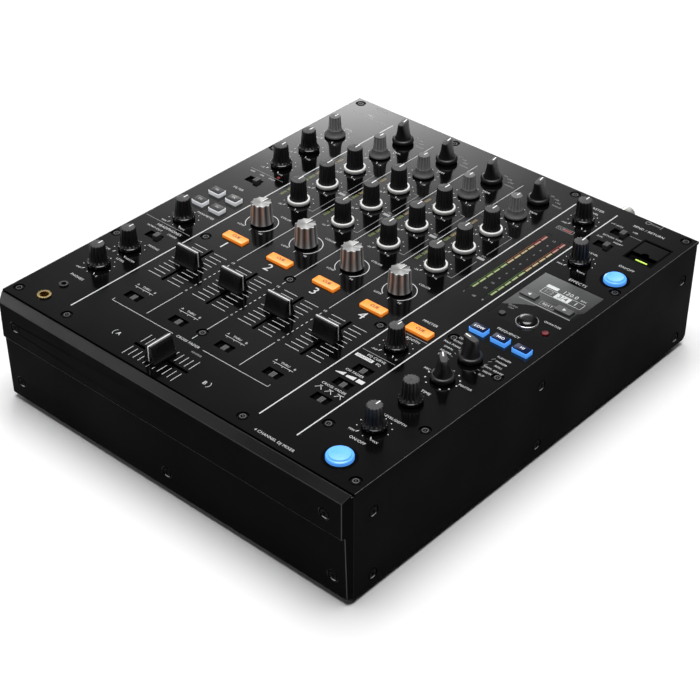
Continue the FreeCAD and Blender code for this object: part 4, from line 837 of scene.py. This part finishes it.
for x in (-65.75, -22.5, 20.75):
    # The middle line is broken round two screws.
    spans = ((131.0, 134.6), (143.0, 345.0), (45.5, 50.8), (59.2, 78.7)) if x == -22.5 else (
        (131.0, 345.0), (45.5, 78.7))
    for start, end in spans:
        line(ink, x, start, x, end, INNER)
    for row in FADER_ROWS[1:-1]:
        line(ink, x, row - 1.0, x, row + 1.0, 0.5)
    labels(ink, (("10", x, FADER_ROWS[-1], 2.0), ("0", x, FADER_ROWS[0], 2.0)))
piece("channel_print", ink, "panel_paint")

ink = Shape()
line(ink, -110.5, 18.0, -110.5, 350.0, OUTER)
for x0, x1, row, width in ((-151.0, -115.0, 346.6, THIN), (-148.0, -115.5, 229.6, HAIR),
                           (-158.0, -113.0, 131.4, THIN)):
    line(ink, x0, row, x1, row, width, FAINT)
labels(ink, (
    ("MIC / LINE", -133.0, 362.4, 1.8, FAINT), ("MIC", -133.0, 349.5, 2.4), ("OFF", -143.5, 226.5, 1.7),
    ("ON", -134.0, 226.5, 1.7), ("OVER", -124.0, 226.8, 1.7), ("FILTER", -133.4, 201.0, 2.2),
    ("HEADPHONES", -130.0, 127.4, 2.5), ("MONO SPLIT", -140.0, 122.6, 1.7),
    ("STEREO", -122.4, 122.6, 1.7), ("PHONES", -133.5, 43.6, 2.2)))
MIC_X = -133.4
dial(ink, MIC_X, 307.5, "LEVEL", "-INF", "0", (2.0, 13.6))
dial(ink, MIC_X, 277.8, "HI", "-12", "+12", (-6.0, 13.0))
dial(ink, MIC_X, 247.2, "LOW", "-12", "+12", (-7.0, 13.0))
dial(ink, MIC_X, 145.1, "PARAMETER", "MIN", "MAX", (9.0, 13.0))
dial(ink, MIC_X, 92.3, "MIXING", "CUE", "MASTER", (12.0, 11.5), (11.5, -10.5))
dial(ink, MIC_X, 63.7, "LEVEL", "-INF", "0", (6.5, 13.8))
piece("left_print", ink, "panel_paint")

CROSS_ROW = 17.6
ink = Shape()
for step in range(11):
    x = -45.0 + 4.5 * step
    reach = 12.0 if step % 5 else 13.2
    for side in (-1, 1):
        line(ink, x, CROSS_ROW + side * 3.2, x, CROSS_ROW + side * reach, TICK)
arc(ink, -63.6, FRONT + 17.5, 3.4, 125, 235, THIN)
arc(ink, 19.0, FRONT + 17.5, 3.4, -55, 55, THIN)
for outer, inner in ((-95.0, -36.0), (50.0, -8.0)):
    line(ink, outer, 41.2, inner, 41.2)
    line(ink, outer, 41.2, outer, 43.8)
labels(ink, (("A", -62.4, 17.5, 3.4), ("B", 17.8, 17.5, 3.4), ("CROSS FADER", -22.0, 41.2, 2.2),
             ("REVERSE", -8.0, 35.4, 1.6, FAINT), ("4 CHANNEL DJ MIXER", 90.0, 5.3, 2.2)))
piece("cross_print", ink, "panel_paint")

EFFECT_X, MASTER_X = 127.0, 82.7
ink = right_print_and_painted_light
for x, end in ((65.25, 350.0), (97.0, 357.0)):
    line(ink, x, 18.0, x, end, OUTER)
# Painted highlight: thin steel lines along the panel's side edges.
for x in (LOW.x / MM + 0.3, HIGH.x / MM - 0.3):
    line(ink, x, 0.5, x, (HIGH.y - LOW.y) / MM - 0.5, HAIR, STEEL_AND_EDGE_HIGHLIGHT)
labels(ink, (
    ("MASTER", 81.0, 353.6, 2.4), ("CLIP", 77.0, 315.8, 2.0, FAINT), ("dB", 83.5, 207.4, 1.8, FAINT),
    ("L", 75.2, 207.4, 1.8, FAINT), ("R", 91.0, 207.4, 1.8, FAINT), ("MASTER", 82.5, 162.6, 2.3),
    ("BOOTH", 86.0, 140.4, 2.2), ("EQ CURVE", 82.0, 108.9, 2.1), ("EQ", 87.0, 104.9, 2.0),
    ("CH FADER", 81.5, 88.3, 2.1), ("CROSS FADER", 82.3, 67.8, 2.1), ("SEND / RETURN", 126.5, 353.2, 2.4),
    ("1/4\" JACK", 104.5, 345.8, 1.6), ("USB", 120.0, 345.8, 1.6), ("RETURN TYPE", 111.5, 329.6, 1.7),
    ("AUX", 103.5, 325.6, 1.6), ("INSERT", 119.0, 325.6, 1.6), ("ON/OFF", 141.5, 303.4, 2.3),
    ("EFFECTS", 127.0, 266.4, 2.6),
    ("FREQUENCY", 127.5, 188.4, 2.1), ("MIC", 112.8, 122.8, 1.9), ("MASTER", 143.4, 123.4, 1.9),
    ("TIME", 128.2, 102.8, 2.3), ("ON/OFF", 127.6, 38.7, 2.3), ("POWER", 125.4, 363.2, 1.6, FAINT)))
for step, words in enumerate(("12", "9", "6", "3", "1", "0", "1", "3", "6", "12", "24")):
    labels(ink, [(words, 83.5, 298.1 - LAMP_PITCH * step, 1.8, FAINT)])
dial(ink, MASTER_X, 334.8, "LEVEL", "-INF", "0", (0.0, 13.0))
dial(ink, MASTER_X, 127.6, None, "-INF", "0")
dial(ink, 112.3, 288.7, "LEVEL", "MIN", "MAX", (1.6, 14.6), (9.2, -10.4))
dial(ink, EFFECT_X, 55.3, "LEVEL/DEPTH", "MIN", "MAX", (5.0, 13.4), (9.2, -10.8))
frame_line(ink, 73.5, 313.9, 87.6, 317.7, HAIR, FAINT)
for x0, x1, row in ((76.8, 95.6, 143.6), (67.6, 95.0, 112.0), (119.6, 129.0, 340.0)):
    line(ink, x0, row, x1, row, THIN, FAINT)
line(ink, 119.4, 363.6, 119.4, 366.0, TICK, FAINT)
line(ink, 130.6, 361.4, 130.6, 366.2, THIN, FAINT)
arc(ink, 119.4, FRONT + 363.4, 1.9, -240, 60, TICK, FAINT)
block(ink, 68.0, 103.4, 82.6, 106.4)
labels(ink, [("ISOLATOR", 75.3, 104.9, 1.7, DARK)], 0.05)
for x0, x1, share in ((70.6, 77.4, 0.15), (79.2, 86.0, 0.55), (87.6, 93.2, 1.0)):
    sheet(ink, [(x0, 81.9), (x1, 81.9), (x1, 85.5), (x0, 81.9 + 3.6 * share)])
for x, bow in ((74.5, 1.0), (82.6, 0.5), (90.6, 0.0)):
    for side in (-1, 1):
        turn_x = x - side * 0.4 * bow
        line(ink, x + side * 2.6, 61.4, turn_x, 64.8, TICK)
        line(ink, turn_x, 64.8, x - side * (2.6 - 1.6 * bow), 65.1, TICK)
for side, names in ((-1, ("DELAY", "ECHO", "PING PONG", "SPIRAL", "REVERB", "TRANS")),
                    (1, ("FLANGER", "PHASER", "ROLL", "VINYL BRAKE", "HELIX", "SLIP"))):
    for step, name in enumerate(names):
        x = EFFECT_X + side * (19.2 - 1.2 * abs(2.2 - step))
        labels(ink, [(name, x, 163.2 - 4.6 * step, 1.7)])
        line(ink, EFFECT_X + side * 10.2, 158.0 - 3.6 * step, EFFECT_X + side * 12.0, 160.6 - 4.2 * step,
             HAIR, FAINT)
for degrees in range(-60, 241, 30):
    ink.dot(*around(degrees, 11.2, EFFECT_X, FRONT + 121.0), 0.0, 0.6, INK, 0.06)
piece("right_print_and_painted_light", ink, "panel_paint")


# ---- CAD nodes

def dress(node, *materials):
    """Gives a CAD node its materials; the first is on every face to begin with."""
    item = NODES[node]
    item.data.materials.clear()
    for material in materials:
        item.data.materials.append(material)
    for polygon in item.data.polygons:
        polygon.material_index = 0
    return item


def soften(item, width, edge):
    """Rounded edges on a CAD node, worn and painted lighter as a highlight."""
    weld = item.modifiers.new("weld", "WELD")
    weld.merge_threshold = 0.00001
    bevel = item.modifiers.new("bevel", "BEVEL")
    bevel.width = width * MM
    bevel.segments = 2
    bevel.limit_method = "ANGLE"
    bevel.angle_limit = math.radians(25)
    bevel.material = edge


for node, material in (("feet", RUBBER), ("windows", LENS), ("port_flap", PAINT), ("power_rocker", GLOSS),
                       ("circuit_boards", BOARD), ("control_units", UNIT)):
    dress(node, material)

# Painted shade: the moulding's face below this height takes the duller case paint, so it reads darker.
BAND_FOOT = LOW.z / MM + 55.1
front = dress("front_panel", MOULDING, BEVEL, CASE, EDGE_WEAR_AND_HIGHLIGHT)
# Painted highlight: faces turned up and forward take the lighter bevel copy of the front plastic.
for polygon in front.data.polygons:
    if polygon.normal.z > 0.3 and polygon.normal.y < -0.3:
        polygon.material_index = 1
    elif polygon.center.z / MM < BAND_FOOT:
        polygon.material_index = 2
soften(front, 0.35, 3)
soften(dress("chassis", CASE, EDGE_WEAR_AND_HIGHLIGHT), 0.25, 1)
# Painted shade: the walls of the plate's holes take the shadowed plastic; its outer side faces take the
# case paint.
plate = dress("top_panel", PAINT, CASE, HOLE_SHADE)
for polygon in plate.data.polygons:
    if abs(polygon.normal.z) < 0.5:
        centre = polygon.center
        inner = LOW.x + MM < centre.x < HIGH.x - MM and LOW.y + MM < centre.y < HIGH.y - MM
        polygon.material_index = 2 if inner else 1

# Sockets are told apart by the place and size of their solids.
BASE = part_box("chassis")[0].z / MM
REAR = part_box("chassis")[1].y / MM
BAY_SIDE, BAY_FLOOR = 100, PANEL - 25
PHONES_X, PHONES_RIM = -133.0, 9.8
WIDE_SOCKET = 20
sockets = dress("sockets", DARK, NICKEL, GOLD, HOLE_SHADE)
# Painted shade: the port bay's tub takes the shadowed plastic.
for polygons, corners in islands("sockets"):
    low, high = ends(corners)
    middle = (low + high) / 2
    wide = high - low
    deep = high.y > REAR and low.y < REAR - 5
    for index in polygons:
        centre = sockets.data.polygons[index].center / MM
        inside = max(abs(centre.x - middle.x) / wide.x, abs(centre.z - middle.z) / wide.z)
        paint = 0
        if abs(middle.x - PHONES_X) < 1 and abs(wide.x - PHONES_RIM) < 0.2:
            paint = 2
        elif low.x > BAY_SIDE and low.z > BAY_FLOOR:
            paint = 3
        elif deep and wide.x > WIDE_SOCKET:
            paint = int(inside < 0.3 and low.y + 2.5 < centre.y < REAR - 0.5)
        elif high.y > REAR + 1.5:
            paint = int(centre.y > REAR + 0.1)
        sockets.data.polygons[index].material_index = paint


def screw_head(outside):
    """Hexagon-socket screw seen from above its recess, its socket a black hexagon of painted shade; one in
    a wall has its ring in the black screw paint, a painted glint on its lower rim and a black ring of
    painted shade round the recess.
    """
    shape = Shape()
    shape.lathe([(3.1, -0.98), (3.1, -0.5), (2.95, -0.3), (2.5, -0.2), (1.6, -0.2)], SCREW, 48)
    shape.lathe([(1.55, -0.3), (1.6, -0.12), (1.85, -0.08), (2.1, -0.12), (2.2, -0.3)],
                SCREW if outside else STEEL_AND_EDGE_HIGHLIGHT, 48, closed=True)
    shape.loft([[(*around(60 * step, 1.5), z) for step in range(6)] for z in (-0.6, -0.17)], HOLE_SHADE)
    if not outside:
        shape.dot(0.0, 0.0, -0.16, 0.4, STEEL_AND_EDGE_HIGHLIGHT, 0.05)
        return shape
    # Painted glint: a bright crescent on the lower rim.
    rim, steps = 3.62, 16
    loops = []
    for step in range(steps + 1):
        inner = rim - 0.1 - 0.55 * math.sin(math.pi * step / steps)
        loops.append([(*around(235 + 75 * step / steps, reach), z)
                      for reach, z in ((inner, -0.42), (3.66, -0.42), (3.66, -0.22), (inner, -0.3))])
    shape.loft(loops, GLINT)
    # Painted shade: a black ring round the recess.
    shape.lathe([(3.7, -0.1), (3.7, 0.12), (4.2, 0.12), (4.3, 0.02)], HOLE_SHADE, 48, closed=True)
    return shape


def facing(across, up, out, place):
    """Frame at a place from the directions of a shape's own three axes."""
    return Matrix.Translation(place) @ Matrix((across, up, out)).transposed().to_4x4()


HEAD = 6.5
screws = Shape()
for _, corners in islands("screws"):
    low, high = ends(corners)
    middle = (low + high) / 2
    wide = high - low
    if wide.z > HEAD:
        spot = Matrix.Translation((middle.x, middle.y, PANEL))
    elif wide.x > HEAD:
        side = math.copysign(1, middle.x)
        face = side * (max(abs(low.x), abs(high.x)) - 0.1)
        spot = facing((0, side, 0), UP, (side, 0, 0), (face, middle.y, middle.z))
    else:
        spot = facing((1, 0, 0), UP, (0, -1, 0), (middle.x, low.y + 0.1, middle.z))
    screws.moved(spot, screw_head(wide.z <= HEAD))
piece("screw_heads", screws, "screw_steel", "screws", body="case", at=(0, 0, 0))


# ---- rear wall, seen from behind

PHONO_REACH = 10.7
PLATE = 1.2
PHONO_HALF = 8.5
REC_OUT = (-22.4, 19.0)
PLATE_ROW = 53.0
OUTPUTS = (56.0, 88.0)
wall = Shape()


def small_screw(x, height, z, size=0.55):
    wall.moved(Matrix.Translation((-x, height, z + 0.98 * size)) @ Matrix.Scale(size, 4), screw_head(False))


for x, height in [(x, height) for x in CHANNELS for height in (62.0, 44.0)] + [REC_OUT]:
    for side, ring in ((-1, PHONO_RED), (1, WHITE)):
        middle = (-x - PHONO_HALF * side, height)
        wall.lathe([(3.3, PHONO_REACH - 0.3), (3.3, PHONO_REACH + 0.15), (3.0, PHONO_REACH + 0.3),
                    (1.9, PHONO_REACH + 0.3), (1.7, PHONO_REACH + 0.1)], ring, 40, middle=middle)
        # The pin hole is a black disc of painted shade.
        wall.lathe([(1.65, PHONO_REACH), (1.6, PHONO_REACH + 0.22), (0.3, PHONO_REACH + 0.2)], HOLE_SHADE, 24,
                   middle=middle)
for x, height in [(x, PLATE_ROW) for x in CHANNELS] + [REC_OUT]:
    small_screw(x, height, PLATE)
for x in OUTPUTS:
    for side in (-1, 1):
        small_screw(x + 10.2 * side, 21.0 + 12.6 * side, PLATE)
for x, height in ((-152.0, 74.0), (-100.0, 7.5), (18.0, 7.5), (108.5, 7.5), (152.0, 74.0)):
    small_screw(x, height, -0.1, 0.8)

for number, x in enumerate(CHANNELS, start=1):
    write(wall, "CH " + str(number), -x, 73.4, 2.8)
    write(wall, "LINE", -x, PLATE_ROW + 4.6, 1.5, FAINT, PLATE)
    write(wall, "PHONO / LINE", -x, 33.2, 1.8, FAINT)
    for side, word in ((-1, "R"), (1, "L")):
        write(wall, word, -x - PHONO_HALF * side, PLATE_ROW, 1.9, INK, PLATE)
for words, x, height, size in (
        ("REC OUT", -22.4, 28.8, 2.2), ("BOOTH", 72.0, 60.6, 2.4), ("R", 61.0, 41.2, 1.9),
        ("L", 83.0, 41.2, 1.9), ("MASTER", 72.0, 38.6, 2.2), ("AC IN", 131.0, 35.6, 2.2),
        ("POWER", 131.0, 76.0, 2.4), ("ON", 144.0, 62.0, 1.8), ("OFF", 144.0, 52.0, 1.8),
        ("LINK", -121.0, 31.2, 2.0), ("USB", -144.0, 31.2, 2.0), ("SIGNAL GND", 108.0, 72.5, 1.8)):
    write(wall, words, -x, height, size)
for start, end, height in ((-106.0, -69.0, 77.6), (-62.7, -25.7, 77.6), (-19.5, 17.5, 77.6),
                           (23.8, 60.8, 77.6), (-150.0, -115.0, 34.2)):
    bar(wall, -start, height, -end, height, THIN, FAINT)
rear = Shape()
rear.moved(facing((-1, 0, 0), UP, (0, 1, 0), (0, REAR, BASE)), wall)
piece("rear_details", rear, "panel_paint", at=(0, 0, 0))


# ---- stage

FLOOR = 6.0
floor = bpy.data.meshes.new("floor")
floor.from_pydata([(-FLOOR, -FLOOR, 0), (FLOOR, -FLOOR, 0), (FLOOR, FLOOR, 0), (-FLOOR, FLOOR, 0)], [],
                  [(0, 1, 2, 3)])
floor.materials.append(surface("floor_paper", (0.8, 0.8, 0.8), 0.9, grain=300, bump=0.02, smudge=2,
                               vary=0.01, specular=0.1))
ground = bpy.data.objects.new("floor", floor)
SCENE.collection.objects.link(ground)

# A soft card stands low behind the left rear corner, and the rest of the room is dim.
CARD = Vector((-0.6288, 0.6983, 0.3420))
CARD_EDGE = 0.80
CARD_GLOW = ((0.0, 0.002), (0.33, 0.003), (0.53, 0.005), (0.698, 0.010), (0.7815, 0.018), (0.8295, 0.03),
             (0.872, 0.05), (0.905, 0.085), (0.918, 0.13), (0.9256, 0.18), (0.9329, 0.27), (0.9412, 0.42),
             (0.9477, 0.58), (0.9725, 0.9), (1.0, 1.0))
CARD_POWER = 9.0
world = bpy.data.worlds.new("studio")
SCENE.world = world
world.use_nodes = True
tree = world.node_tree
direction = add(tree, "TexCoord").outputs["Generated"]
window = spread(tree, along(tree, direction, CARD.normalized()), 0.0, 1.0, CARD_EDGE, 1.0)
background = tree.nodes["Background"]
tree.links.new(ramp(tree, window, CARD_GLOW), background.inputs["Color"])
background.inputs["Strength"].default_value = CARD_POWER


def lamp(name, place, aim, size, power):
    light = bpy.data.lights.new(name, "AREA")
    light.shape = "DISK"
    light.size = size
    light.energy = power
    item = bpy.data.objects.new(name, light)
    item.location = place
    item.rotation_euler = (Vector(aim) - Vector(place)).to_track_quat("-Z", "Y").to_euler()
    SCENE.collection.objects.link(item)


lamp("overhead", (0.0, 0.1, 4.0), (0, 0, 0), 3.0, 230)
lamp("front_left", (-1.62, -1.35, 1.02), (0, 0, 0.05), 0.7, 4)

SCENE.view_settings.view_transform = "Standard"
SCENE.view_settings.look = "None"

camera = bpy.data.cameras.new("camera")
camera.sensor_width = 36
camera.lens = 91.28
camera.shift_x = 0.0054
camera.shift_y = 0.0049
viewer = bpy.data.objects.new("camera", camera)
viewer.matrix_world = facing((0.74528, 0.66675, 0.00074), (-0.39465, 0.44024, 0.80650),
                             (0.53741, -0.60136, 0.59123), (0.67926, -0.77537, 0.76629))
SCENE.collection.objects.link(viewer)
SCENE.camera = viewer
